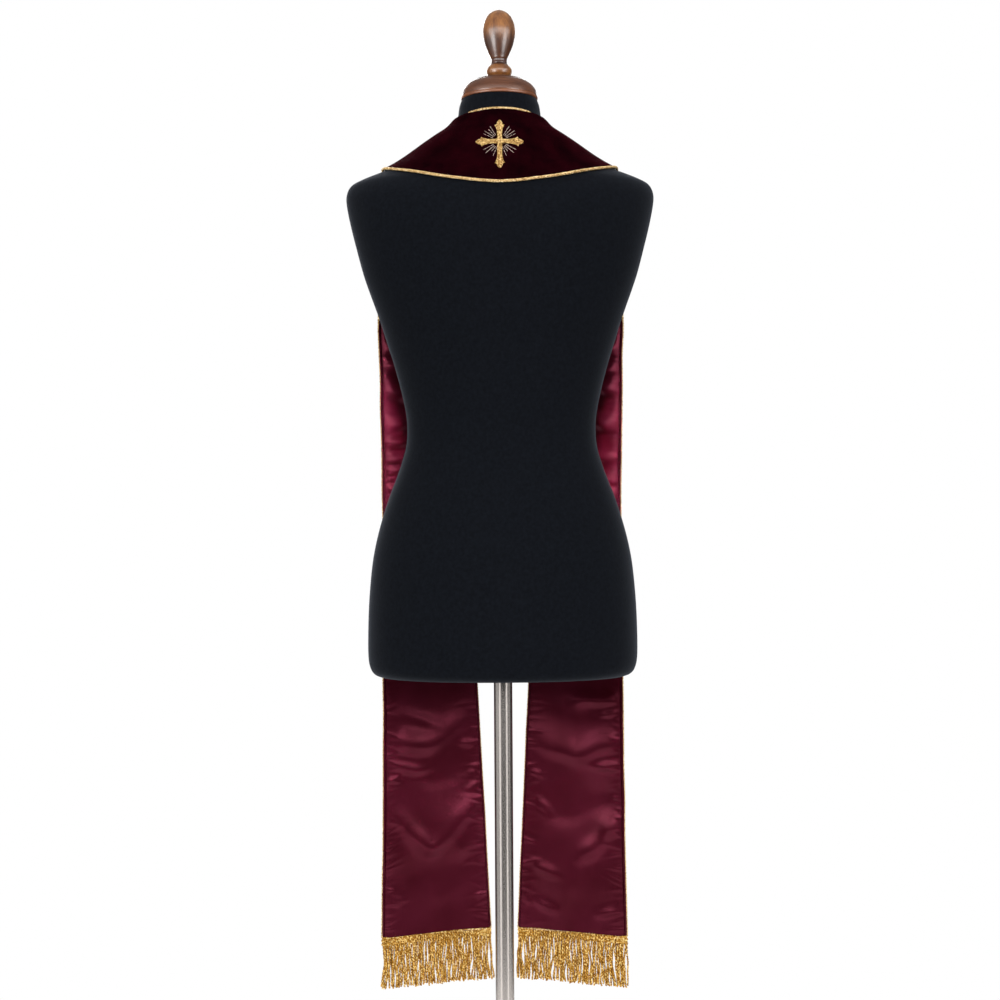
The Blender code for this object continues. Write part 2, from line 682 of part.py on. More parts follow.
def main():
    remove_everything()
    stand = bpy.data.objects.new("stole_on_form", None)
    bpy.context.scene.collection.objects.link(stand)
    steel = make_material("brushed_steel", (0.42, 0.41, 0.40), 0.35, 1.0)
    wood = make_material("turned_wood", (0.26, 0.12, 0.06), 0.30)
    jersey = make_material("navy_jersey", (0.008, 0.010, 0.014), 0.85)
    cloths = {
        "velvet": make_material("wine_velvet", (0.030, 0.003, 0.010), 0.80),
        "satin": make_material("burgundy_satin", (0.075, 0.004, 0.016), 0.38),
        "gold": make_material("gold_thread", (0.60, 0.36, 0.10), 0.45, 0.3),
    }
    build_stand(stand, steel)
    build_form(stand, jersey, wood)
    torso = torso_solid()
    tree = BVHTree.FromBMesh(torso)
    torso.free()
    left = face_grid(tree, LEFT_FOLDS)
    right = face_grid(tree, RIGHT_FOLDS)
    build_half("left", 1, left, stand, cloths)
    build_half("right", -1, right, stand, cloths)
    face = np.concatenate([mirrored(right)[::-1], left[1:]])
    band = wall_solid(face, face - (0.0, BAND_DEPTH, 0.0))
    add_object("cross", cross_solid(BVHTree.FromBMesh(band)), cloths["gold"], stand)
    band.free()


main()
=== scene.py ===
import math

import bmesh
import bpy
import numpy as np
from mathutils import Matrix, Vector
from mathutils.bvhtree import BVHTree


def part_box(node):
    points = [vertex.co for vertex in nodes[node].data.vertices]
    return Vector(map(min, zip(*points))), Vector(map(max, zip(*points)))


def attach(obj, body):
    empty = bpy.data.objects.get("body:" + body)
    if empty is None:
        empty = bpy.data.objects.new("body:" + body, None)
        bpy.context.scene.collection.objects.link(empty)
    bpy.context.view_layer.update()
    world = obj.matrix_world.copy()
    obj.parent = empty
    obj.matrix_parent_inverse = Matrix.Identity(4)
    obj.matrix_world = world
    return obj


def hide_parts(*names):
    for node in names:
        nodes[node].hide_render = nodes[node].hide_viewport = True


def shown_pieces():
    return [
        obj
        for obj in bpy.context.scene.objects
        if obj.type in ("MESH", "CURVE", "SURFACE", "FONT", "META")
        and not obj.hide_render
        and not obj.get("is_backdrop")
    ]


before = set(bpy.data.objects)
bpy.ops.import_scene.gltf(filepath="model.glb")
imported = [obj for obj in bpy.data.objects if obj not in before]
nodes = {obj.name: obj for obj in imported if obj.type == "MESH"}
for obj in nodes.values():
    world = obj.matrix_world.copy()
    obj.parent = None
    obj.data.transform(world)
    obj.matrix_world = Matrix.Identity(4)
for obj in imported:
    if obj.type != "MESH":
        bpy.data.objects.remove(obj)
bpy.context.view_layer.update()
sides = {"left": 1.0, "right": -1.0}
white = (1.0, 1.0, 1.0, 1.0)
meshFit = {"weld": 2e-6, "seam": 1e-7, "level": 1e-5, "sharp": 50.0}


def rgb(red, green, blue):  # screen colour, 0 to 255, to a linear one
    def linear(value):
        value /= 255
        return value / 12.92 if value <= 0.04045 else ((value + 0.055) / 1.055) ** 2.4
    return (linear(red), linear(green), linear(blue), 1.0)


def linkNew(name, data):
    item = bpy.data.objects.new(name, data)
    bpy.context.scene.collection.objects.link(item)
    return item


def addMesh(name, verts, faces, material):
    mesh = bpy.data.meshes.new(name)
    mesh.from_pydata([tuple(v) for v in verts], [], faces)
    mesh.materials.append(material)
    mesh.shade_smooth()
    mesh.set_sharp_from_angle(angle=math.radians(meshFit["sharp"]))
    return linkNew(name, mesh)


def welded(mesh, distance):  # a CAD node's mesh is loose triangles
    copy = bmesh.new()
    copy.from_mesh(mesh)
    bmesh.ops.remove_doubles(copy, verts=copy.verts, dist=distance)
    return copy


def meshTree(mesh):
    return BVHTree.FromPolygons([v.co for v in mesh.vertices], [p.vertices for p in mesh.polygons])


def unit(vectors):
    return vectors / np.linalg.norm(vectors, axis=-1, keepdims=True)


def runs(points):  # the way from the first point to each one, down the rows
    steps = np.linalg.norm(np.diff(points, axis=0), axis=-1)
    return np.concatenate([np.zeros((1,) + steps.shape[1:]), np.cumsum(steps, axis=0)])


def anglesRound(count):
    return [math.tau * k / count for k in range(count)]


def chain(count, first=0):
    return [(first + k, first + k + 1) for k in range(count - 1)]


def curveWeights(count, samples, closed=False):  # Catmull-Rom weights of count points at each sample
    weights = np.zeros((len(samples), count))
    beyond = {-1: ((0, 2), (1, -1)), count: ((count - 1, 2), (count - 2, -1))}
    for row, sample in enumerate(samples):
        start = math.floor(sample) if closed else min(int(sample), count - 2)
        u = sample - start
        blend = ((-u + 2 * u**2 - u**3) / 2, (2 - 5 * u**2 + 3 * u**3) / 2,
                 (u + 4 * u**2 - 3 * u**3) / 2, (u**3 - u**2) / 2)
        for k, weight in zip(range(start - 1, start + 3), blend):
            for place, part in ((k % count, 1),) if closed else beyond.get(k, ((k, 1),)):
                weights[row, place] += part * weight
    return weights


def gridFaces(rows, columns, closed=False, capped=False):
    faces = []
    for first in range(0, (rows - 1) * columns, columns):
        for c in range(columns if closed else columns - 1):
            d = (c + 1) % columns
            faces.append((first + c, first + d, first + columns + d, first + columns + c))
    if capped:
        ends = tuple(range(rows * columns))
        faces += [ends[:columns][::-1], ends[-columns:]]
    return faces


def feed(node, **inputs):  # each input by its name, or by its place as i0, i1
    for key, value in inputs.items():
        socket = node.inputs[int(key[1:])] if key[1:].isdigit() else node.inputs[key.replace("_", " ")]
        if isinstance(value, bpy.types.NodeSocket):
            node.id_data.links.new(value, socket)
        else:
            socket.default_value = value
    return node


def addNode(tree, kind, settings=None, **inputs):
    node = tree.nodes.new(kind)
    for key, value in (settings or {}).items():
        setattr(node, key, value)
    return feed(node, **inputs)


def treeOf(*values):
    return next(value.id_data for value in values if isinstance(value, bpy.types.NodeSocket))


def nodeMath(operation, kind="ShaderNodeMath"):
    def work(*values):
        node = addNode(treeOf(*values), kind, {"operation": operation})
        return feed(node, **{"i" + str(k): value for k, value in enumerate(values)}).outputs[0]
    return work


plus, minus, times, over, power, sine, cosine, unsigned = (nodeMath(operation) for operation in (
    "ADD", "SUBTRACT", "MULTIPLY", "DIVIDE", "POWER", "SINE", "COSINE", "ABSOLUTE"))
plusVector, minusVector, timesVector, crossVector = (
    nodeMath(operation, "ShaderNodeVectorMath")
    for operation in ("ADD", "SUBTRACT", "MULTIPLY", "CROSS_PRODUCT"))


def scaled(vector, amount):
    return addNode(vector.id_data, "ShaderNodeVectorMath", {"operation": "SCALE"}, i0=vector,
                   Scale=amount).outputs[0]


def vectorOf(tree, **parts):
    return addNode(tree, "ShaderNodeCombineXYZ", **parts).outputs[0]


def partsOf(vector):
    return addNode(vector.id_data, "ShaderNodeSeparateXYZ", Vector=vector).outputs


def ranged(value, source=(0.0, 1.0), result=(0.0, 1.0)):
    return addNode(value.id_data, "ShaderNodeMapRange", Value=value, From_Min=source[0],
                   From_Max=source[1], To_Min=result[0], To_Max=result[1]).outputs[0]


def noiseOn(place, scale, stretch=(1.0, 1.0, 1.0), detail=3.0, rough=0.55):
    spread = addNode(place.id_data, "ShaderNodeMapping", Vector=place, Scale=stretch).outputs[0]
    return addNode(place.id_data, "ShaderNodeTexNoise", Vector=spread, Scale=scale, Detail=detail,
                   Roughness=rough).outputs[0]


def rampOf(factor, places, colours):
    ramp = addNode(factor.id_data, "ShaderNodeValToRGB", Fac=factor)
    marks = ramp.color_ramp.elements
    while len(marks) < len(places):
        marks.new(0.5)
    for mark, place, colour in zip(marks, places, colours):
        mark.position = place
        mark.color = colour
    return ramp.outputs[0]


def bumpOf(height, strength, distance):
    return addNode(height.id_data, "ShaderNodeBump", Strength=strength, Distance=distance,
                   Height=height).outputs[0]


def layersOf(place, look, *names):
    return [noiseOn(place, **look[name]) for name in names]


def newFinish(name, **values):
    material = bpy.data.materials.new(name)
    material.use_nodes = True
    shader = feed(material.node_tree.nodes["Principled BSDF"], **values)
    place = addNode(material.node_tree, "ShaderNodeTexCoord").outputs["Object"]
    return material, shader, place


velvetLook = {"colours": (rgb(10, 0, 2), rgb(26, 1, 5)), "places": (0.35, 0.72), "glow": 0.11,
              "sheen": rgb(190, 44, 72), "crush": {"scale": 34.0, "detail": 4.0},
              "pile": {"scale": 2600.0, "detail": 2.0},
              "relief": {"strength": 0.5, "distance": 0.0006}}


def velvetFinish():
    material, shader, place = newFinish(
        "wineVelvet", Roughness=0.95, Specular_IOR_Level=0.01, Sheen_Weight=velvetLook["glow"],
        Sheen_Roughness=0.30, Sheen_Tint=velvetLook["sheen"])
    crush, pile = layersOf(place, velvetLook, "crush", "pile")
    # crush noise paints lighter patches into the base colour: partly the velvet's own uneven tone, partly
    # a painted sheen of crushed pile
    feed(shader, Base_Color=rampOf(crush, velvetLook["places"], velvetLook["colours"]),
         Normal=bumpOf(plus(pile, crush), **velvetLook["relief"]))
    return material


satinLook = {"colours": ((0.050, 0.0024, 0.0076, 1.0), (0.076, 0.0056, 0.0158, 1.0)),
             "places": (0.3, 0.75), "tint": (1.0, 0.50, 0.62, 1.0), "rough": (0.26, 0.33),
             "clouds": {"scale": 14.0, "detail": 2.0},
             "threads": {"scale": 1500.0, "stretch": (1.0, 1.0, 0.08), "detail": 1.0},
             "slub": {"scale": 240.0, "stretch": (1.0, 1.0, 0.1), "detail": 2.0},
             "relief": {"strength": 0.25, "distance": 0.0002}}


def satinFinish():
    material, shader, place = newFinish(
        "burgundySatin", Metallic=0.50, Specular_IOR_Level=0.28, Specular_Tint=satinLook["tint"])
    clouds, threads, slub = layersOf(place, satinLook, "clouds", "threads", "slub")
    feed(shader, Base_Color=rampOf(clouds, satinLook["places"], satinLook["colours"]),
         Roughness=ranged(slub, result=satinLook["rough"]),
         Normal=bumpOf(plus(threads, slub), **satinLook["relief"]))
    return material


threadLook = {"places": (0.38, 0.50, 0.62), "fibres": {"scale": 3800.0, "detail": 2.0},
              "relief": {"strength": 0.35, "distance": 0.0002}}


# painted shade: later plies are painted darker, deepening the light and dark of the twist
def threadFinish(name, colours, roughness, metallic, grain, paintedShade=0.0):  # shade darkens later plies
    material, shader, place = newFinish(
        name, Roughness=roughness, Metallic=metallic, Specular_IOR_Level=0.35)
    ply = addNode(material.node_tree, "ShaderNodeAttribute", {"attribute_name": "paintedShade"}).outputs["Fac"]
    tone = minus(noiseOn(place, grain, rough=0.7), times(ply, paintedShade))
    fibres = noiseOn(place, **threadLook["fibres"])
    feed(shader, Base_Color=rampOf(tone, threadLook["places"], [rgb(*colour) for colour in colours]),
         Normal=bumpOf(fibres, **threadLook["relief"]))
    return material


jerseyLook = {"colours": (rgb(8, 10, 14), rgb(14, 17, 22)), "places": (0.3, 0.75), "glow": 0.22,
              "sheen": rgb(176, 182, 196), "course": 0.0011, "knit": 0.35,
              "wales": {"scale": 1.0 / 0.0009, "stretch": (1.0, 1.0, 0.12), "detail": 1.0},
              "fuzz": {"scale": 260.0, "detail": 4.0}, "relief": {"strength": 0.35, "distance": 0.0004}}


def jerseyFinish():
    material, shader, place = newFinish(
        "navyJersey", Roughness=0.9, Specular_IOR_Level=0.04, Sheen_Weight=jerseyLook["glow"],
        Sheen_Roughness=0.38, Sheen_Tint=jerseyLook["sheen"])
    courses = sine(times(partsOf(place)[2], math.tau / jerseyLook["course"]))
    wales, fuzz = layersOf(place, jerseyLook, "wales", "fuzz")
    feed(shader, Base_Color=rampOf(fuzz, jerseyLook["places"], jerseyLook["colours"]),
         Normal=bumpOf(plus(times(courses, jerseyLook["knit"]), wales), **jerseyLook["relief"]))
    return material


woodLook = {"places": (0.36, 0.50, 0.66), "wave": 0.012, "longFade": 0.01, "poreShare": 0.2,
            "grain": {"scale": 80.0, "detail": 6.0, "rough": 0.6},
            "pores": {"scale": 640.0, "detail": 2.0}, "relief": {"strength": 0.04, "distance": 0.0001}}


def woodFinish(name, colours, stretch, coat, paintedLight):
    material, shader, place = newFinish(
        name, Roughness=0.45, Specular_IOR_Level=0.3, Coat_Weight=coat, Coat_Roughness=0.22)
    grain, pores = (noiseOn(place, stretch=stretch, **woodLook[layer]) for layer in ("grain", "pores"))
    mixed = plus(times(grain, 1.0 - woodLook["poreShare"]), times(pores, woodLook["poreShare"]))
    colour = rampOf(mixed, woodLook["places"], [rgb(*tone) for tone in colours])
    height = partsOf(place)[2]
    wavy = plus(height, times(grain, woodLook["wave"]))
    # each band multiplies painted light into the wood's colour: a painted highlight where it lightens,
    # painted shade where it darkens
    for lightTint, *ends in paintedLight:
        shares = [ranged(wavy if abs(bare - full) > woodLook["longFade"] else height, (bare, full))
                  for bare, full in ends]
        colour = addNode(material.node_tree, "ShaderNodeMix",
                         {"data_type": "RGBA", "blend_type": "MULTIPLY"},
                         i0=times(*shares), i6=colour, i7=lightTint).outputs[2]
    feed(shader, Base_Color=colour, Normal=bumpOf(pores, **woodLook["relief"]))
    return material


steelLook = {"colour": rgb(178, 171, 166), "rough": (0.24, 0.28),
             "brush": {"scale": 420.0, "detail": 1.0}, "relief": {"strength": 0.01, "distance": 0.00003}}


def steelFinish(name, stretch):
    material, shader, place = newFinish(name, Base_Color=steelLook["colour"], Metallic=1.0)
    brush = noiseOn(place, stretch=stretch, **steelLook["brush"])
    feed(shader, Roughness=ranged(brush, result=steelLook["rough"]),
         Normal=bumpOf(brush, **steelLook["relief"]))
    return material


velvet = velvetFinish()
satin = satinFinish()
# the cord's and the fringe's later plies get painted shade, a darker tone for the shading of the twist
goldCord = threadFinish("goldCord", ((124, 84, 38), (218, 180, 114), (250, 234, 194)),
                        0.42, 0.20, 640.0, 0.05)
goldFringe = threadFinish("goldFringe", ((110, 62, 1), (198, 142, 30), (250, 230, 162)),
                          0.32, 0.45, 420.0, 0.10)
goldSilk = threadFinish("goldSilk", ((96, 66, 20), (172, 132, 66), (232, 206, 148)), 0.45, 0.25, 460.0)
paleSilk = threadFinish("paleSilk", ((206, 180, 168), (232, 212, 198), (248, 236, 222)),
                        0.40, 0.10, 760.0)
wineThread = threadFinish("wineThread", ((60, 8, 22), (84, 14, 36), (110, 30, 56)), 0.50, 0.0, 760.0)
jersey = jerseyFinish()
# Each painted band has a colour and, for its top and its foot, the heights where it starts and is full.
# A band that fades over a long way follows the grain. The bands are painted light: a painted highlight on
# the cap's lower lip, and painted reflection and shade on the knob's lower bulb and neck groove.
# painted highlight: the cap's lower lip is painted lighter, as if it caught the bright light below it
capWood = woodFinish("capWood", ((50, 24, 9), (65, 33, 13), (78, 43, 18)), (0.10, 0.5, 1.6), 0.4,
                     (((1.9, 1.9, 1.8, 1.0), (1.5160, 1.5150), (1.5090, 1.5105)),))
knobWood = woodFinish("knobWood", ((74, 41, 15), (98, 59, 24), (120, 78, 35)), (1.3, 1.3, 0.40), 0.7,
                      # painted reflection and shade: the knob's lower bulb is painted greyer and darker
                      ((rgb(150, 134, 140), (1.608, 1.590), (1.5634, 1.5640)),
                       # painted shade: the neck groove is painted darker
                       (rgb(124, 96, 84), (1.5640, 1.5634), (1.5545, 1.5553))))
poleSteel = steelFinish("poleSteel", (1.0, 1.0, 0.001))
footSteel = steelFinish("footSteel", (0.05, 1.0, 1.0))
print("finishes made")


cameraLook = {"place": (0.0024, 2.174, 1.0), "roll": 0.0064, "lens": 61.2, "sensor": 36.0, "far": 50.0}


def makeCamera():
    data = bpy.data.cameras.new("camera")
    data.lens = cameraLook["lens"]
    data.sensor_width = cameraLook["sensor"]
    data.clip_end = cameraLook["far"]
    camera = linkNew("camera", data)
    camera.location = cameraLook["place"]
    camera.rotation_euler = (math.pi / 2, cameraLook["roll"], math.pi)
    bpy.context.scene.camera = camera


makeCamera()


formLook = {"finer": 4, "turnBack": 0.05}


def formRings():  # the form's level rings, from the neck down, each round from +X
    form = welded(nodes["form_torso"].data, meshFit["weld"])
    levels = {}
    for vert in form.verts:
        levels.setdefault(round(vert.co.z / meshFit["level"]), []).append(tuple(vert.co))
    form.free()

    def angle(point):
        return (math.atan2(point[1], point[0]) + formLook["turnBack"]) % math.tau
    return np.array([sorted(levels[level], key=angle) for level in sorted(levels, reverse=True)])


def makeForm():
    rings = formRings()
    finer = formLook["finer"]
    rows, around = (rings.shape[0] - 1) * finer + 1, rings.shape[1] * finer
    down = curveWeights(rings.shape[0], np.arange(rows) / finer)
    about = curveWeights(rings.shape[1], np.arange(around) / finer, closed=True)
    skin = np.einsum("rk,kcx,dc->rdx", down, rings, about)
    faces = [face[::-1] for face in gridFaces(rows, around, closed=True, capped=True)]
    return addMesh("formJersey", skin.reshape(-1, 3), faces, jersey)


formJersey = makeForm()
formTree = meshTree(formJersey.data)
print("form made")


def turned(name, profile, segments, material, bore=None):  # profile rows are (height, radius)
    rows = list(profile)
    if bore:
        rows += [(profile[-1][0], bore), (profile[0][0], bore), profile[0]]
    verts = [(radius * math.cos(a), radius * math.sin(a), height)
             for height, radius in rows for a in anglesRound(segments)]
    faces = gridFaces(len(rows), segments, closed=True, capped=not bore)
    piece = addMesh(name, verts, faces, material)
    if bore:
        closed = welded(piece.data, meshFit["seam"])
        closed.to_mesh(piece.data)
        closed.free()
    return piece


turnedLook = {
    "segments": 80, "finer": 5, "step": 0.0006, "tip": 0.0002,
    "neck_cap": ((1.5150, 0.0005, 0.0009), (1.5346, 0.0004, 0.0018)),
    "finial": ((1.5402, 0.0030, 0.0024), (1.5574, 0.0004, 0.0007), (1.5634, 0.0004, 0.0006)),
}


def profileOf(name):  # smooth (height, radius) rows of a turned CAD node, from its foot up
    node = welded(nodes[name].data, meshFit["weld"])
    radii = {}
    for vert in node.verts:
        height = round(vert.co.z / meshFit["level"])
        radii[height] = max(radii.get(height, 0.0), math.hypot(vert.co.x, vert.co.y))
    node.free()
    points = np.array([(height * meshFit["level"], radii[height]) for height in sorted(radii)])
    finer = turnedLook["finer"]
    soft = curveWeights(len(points), np.arange((len(points) - 1) * finer + 1) / finer) @ points
    soft[:, 1] = np.maximum(soft[:, 1], turnedLook["tip"])
    return soft


def makeTurned(name, node, wood):  # with thin grooves, each a (height, half width, depth)
    points = profileOf(node)
    lengths = runs(points)
    places = np.linspace(0.0, lengths[-1], int(lengths[-1] / turnedLook["step"]) + 1)
    heights, full = (np.interp(places, lengths, points[:, k]) for k in (0, 1))
    radii = full.copy()
    for height, half, depth in turnedLook[node]:
        radii -= depth * np.exp(-((heights - height) / half) ** 2)
    radii = np.maximum(radii, np.minimum(full, turnedLook["tip"]))
    return turned(name, list(zip(heights, radii)), turnedLook["segments"], wood)


neckCap = makeTurned("neckCap", "neck_cap", capWood)
finial = makeTurned("finialKnob", "finial", knobWood)
poleLow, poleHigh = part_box("pole")
poleTube = turned("poleTube", [(poleLow.z, poleHigh.x), (poleHigh.z, poleHigh.x)],
                  turnedLook["segments"], poleSteel)

footLook = {"segments": 192, "plateSoft": 0.0015, "collarSoft": 0.0020, "steps": 5, "bore": 0.0003,
            "screwRadius": 0.0032, "screwDepth": 0.0016, "socket": 0.0016, "screwSegments": 24}


def roundedDisc(low, high, soft):  # its upper edge is rounded
    angles = [math.pi / 2 * k / footLook["steps"] for k in range(footLook["steps"] + 1)]
    return [(low.z, high.x)] + [(high.z - soft + soft * math.sin(a), high.x - soft + soft * math.cos(a))
                                for a in angles]


footPlate = turned("footPlate", roundedDisc(*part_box("base_plate"), footLook["plateSoft"]),
                   footLook["segments"], footSteel)
collarLow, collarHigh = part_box("base_collar")
poleCollar = turned("poleCollar", roundedDisc(collarLow, collarHigh, footLook["collarSoft"]),
                    turnedLook["segments"], footSteel, poleHigh.x + footLook["bore"])


def collarScrew():  # a grub screw with a six-sided socket, on the collar's +Y side
    middle = (collarLow.z + collarHigh.z) / 2
    depth, count = footLook["screwDepth"], footLook["screwSegments"]
    face = collarHigh.x - depth / 2
    rows = ((0.0, "screwRadius"), (depth, "screwRadius"), (depth, "socket"), (depth / 2, "socket"))
    sixth = math.pi / 6
    verts = []
    for out, size in rows:
        for a in anglesRound(count):
            side = (a + sixth) % (2 * sixth) - sixth
            flat = math.cos(sixth) / math.cos(side) if size == "socket" else 1.0
            reach = footLook[size] * flat
            verts.append((reach * math.cos(a), face + out, middle + reach * math.sin(a)))
    faces = [face[::-1] for face in gridFaces(len(rows), count, closed=True, capped=True)]
    return addMesh("collarScrew", verts, faces, footSteel)


screw = collarScrew()
print("stand made")


clothLook = {"velvetWall": 0.0013, "between": 0.0003, "liningWall": 0.0005, "rest": 0.0006,
             "clear": 0.0005, "besideCord": 0.0019, "coarse": 8, "columns": 54, "bodyStep": 0.0045,
             "hangStep": 0.0018, "bust": 1.225, "pastNeck": 10, "firstRow": 0.02, "reach": 0.06,
             "roomShare": 0.7, "centre": 0.001}
clothStack = clothLook["velvetWall"] + clothLook["between"] + clothLook["liningWall"]


def cordRings(name):  # the middles of a cord's rings, from the centre back to the hem
    cord = welded(nodes[name].data, meshFit["weld"])
    cord.verts.index_update()
    ring = [v for v in cord.verts if abs(v.co.x) < clothLook["centre"]]
    seen = set(ring)
    middles = []
    while ring:
        middles.append(sum((v.co for v in ring), Vector()) / len(ring))
        beyond = {edge.other_vert(v) for v in ring for edge in v.link_edges} - seen
        ring = sorted(beyond, key=lambda v: v.index)
        seen |= beyond
    cord.free()
    return np.array(middles)


def outwardOf(grid, hand):
    return unit(np.cross(np.gradient(grid, axis=0), np.gradient(grid, axis=1))) * hand


def velvetGrid(side, hand, inner, outer):  # the velvet's outer face, from cord to cord
    tree = meshTree(nodes["velvet_" + side].data)
    across = outer - inner
    width = np.linalg.norm(across, axis=1)
    along = np.gradient((inner + outer) / 2, axis=0)
    outward = unit(np.cross(along, across)) * hand
    starts = inner.copy()
    starts[0] = inner[0] * (1 - clothLook["firstRow"]) + inner[1] * clothLook["firstRow"]
    last = clothLook["coarse"] - 1
    grid = np.zeros((len(inner), last + 1, 3))
    for row, column in np.ndindex(len(inner), last + 1):
        gap = clothLook["besideCord"] / width[row]
        base = Vector(starts[row] + across[row] * (gap + (1 - 2 * gap) * column / last))
        away = Vector(outward[row]) * clothLook["reach"]
        hit = tree.ray_cast(base + away, -away, 2 * clothLook["reach"])[0]
        grid[row, column] = hit or tree.find_nearest(base)[0]
    grid[0, :, 0] = 0.0
    return grid


def rowSamples(grid):  # finer rows where the panels hang free
    middle = grid[:, grid.shape[1] // 2]
    lengths = runs(middle)
    heights = middle[clothLook["pastNeck"]:, 2]
    bust = clothLook["pastNeck"] + int(np.argmax(heights < clothLook["bust"]))
    places = list(np.arange(0.0, lengths[bust], clothLook["bodyStep"]))
    count = int((lengths[-1] - lengths[bust]) / clothLook["hangStep"])
    places += list(np.linspace(lengths[bust], lengths[-1], count + 1))
    return np.interp(places, lengths, np.arange(len(lengths)))


def formDepth(grid):  # how far each point stands outside the form, less than none inside it
    depth = np.zeros(grid.shape[:2])
    for place in np.ndindex(*depth.shape):
        point = Vector(grid[place])
        nearest, normal, _, distance = formTree.find_nearest(point)
        depth[place] = distance if (point - nearest).dot(normal) > 0 else -distance
    return depth


def clothGrid(side, hand):  # the fine grid, and the middles of its two cords at each row
    inner, outer = cordRings("inner_cord_" + side), cordRings("outer_cord_" + side)
    grid = velvetGrid(side, hand, inner, outer)
    down = curveWeights(grid.shape[0], rowSamples(grid))
    about = curveWeights(grid.shape[1], np.linspace(0, grid.shape[1] - 1, clothLook["columns"] + 1))
    fine = np.einsum("rk,kcx,dc->rdx", down, grid, about)
    fine[0, :, 0] = 0.0
    stack = clothStack + clothLook["rest"] + clothLook["clear"]
    push = np.maximum(0.0, stack - formDepth(fine))
    fine += outwardOf(fine, hand) * push[:, :, None]
    return fine, {"inner": down @ inner, "outer": down @ outer}


def roomUnder(grid):  # how far the lining may stand off the velvet before it meets the form
    away = np.abs(formDepth(grid))
    return np.maximum(0.0, clothLook["roomShare"] * (away - clothStack) - clothLook["clear"])


def edgeWays(grid):  # how far each point is from the inner and from the outer long edge
    fromInner = runs(grid.swapaxes(0, 1)).T
    return fromInner, fromInner[:, -1:] - fromInner


# Where the band comes round the neck it rolls over its inner cord, which sinks behind it.
rollLook = {"near": 0.031, "far": 0.042, "front": -0.012, "fade": 0.014, "foot": 1.470,
            "rise": 0.0014, "half": 0.0080, "sink": 0.0026, "behind": 0.0016}


def rollShare(grid):
    x, y, z = np.abs(grid[..., 0]), grid[..., 1], grid[..., 2]
    beside = np.clip((x - rollLook["near"]) / (rollLook["far"] - rollLook["near"]), 0.0, 1.0)
    behind = np.clip((y - rollLook["front"]) / rollLook["fade"], 0.0, 1.0)
    return beside * behind * (z > rollLook["foot"])


clothFaces, cordLines = {}, {}
for side, hand in sides.items():
    clothFaces[side], cordLines[side] = clothGrid(side, hand)
    inner = cordLines[side]["inner"]
    sunk = np.maximum(rollShare(inner) * rollLook["sink"],
                      rollLook["behind"] * (inner[:, 2] > rollLook["foot"]))
    inner -= outwardOf(clothFaces[side], hand)[:, 0] * sunk[:, None]
print("cloth surface made", clothFaces["left"].shape)

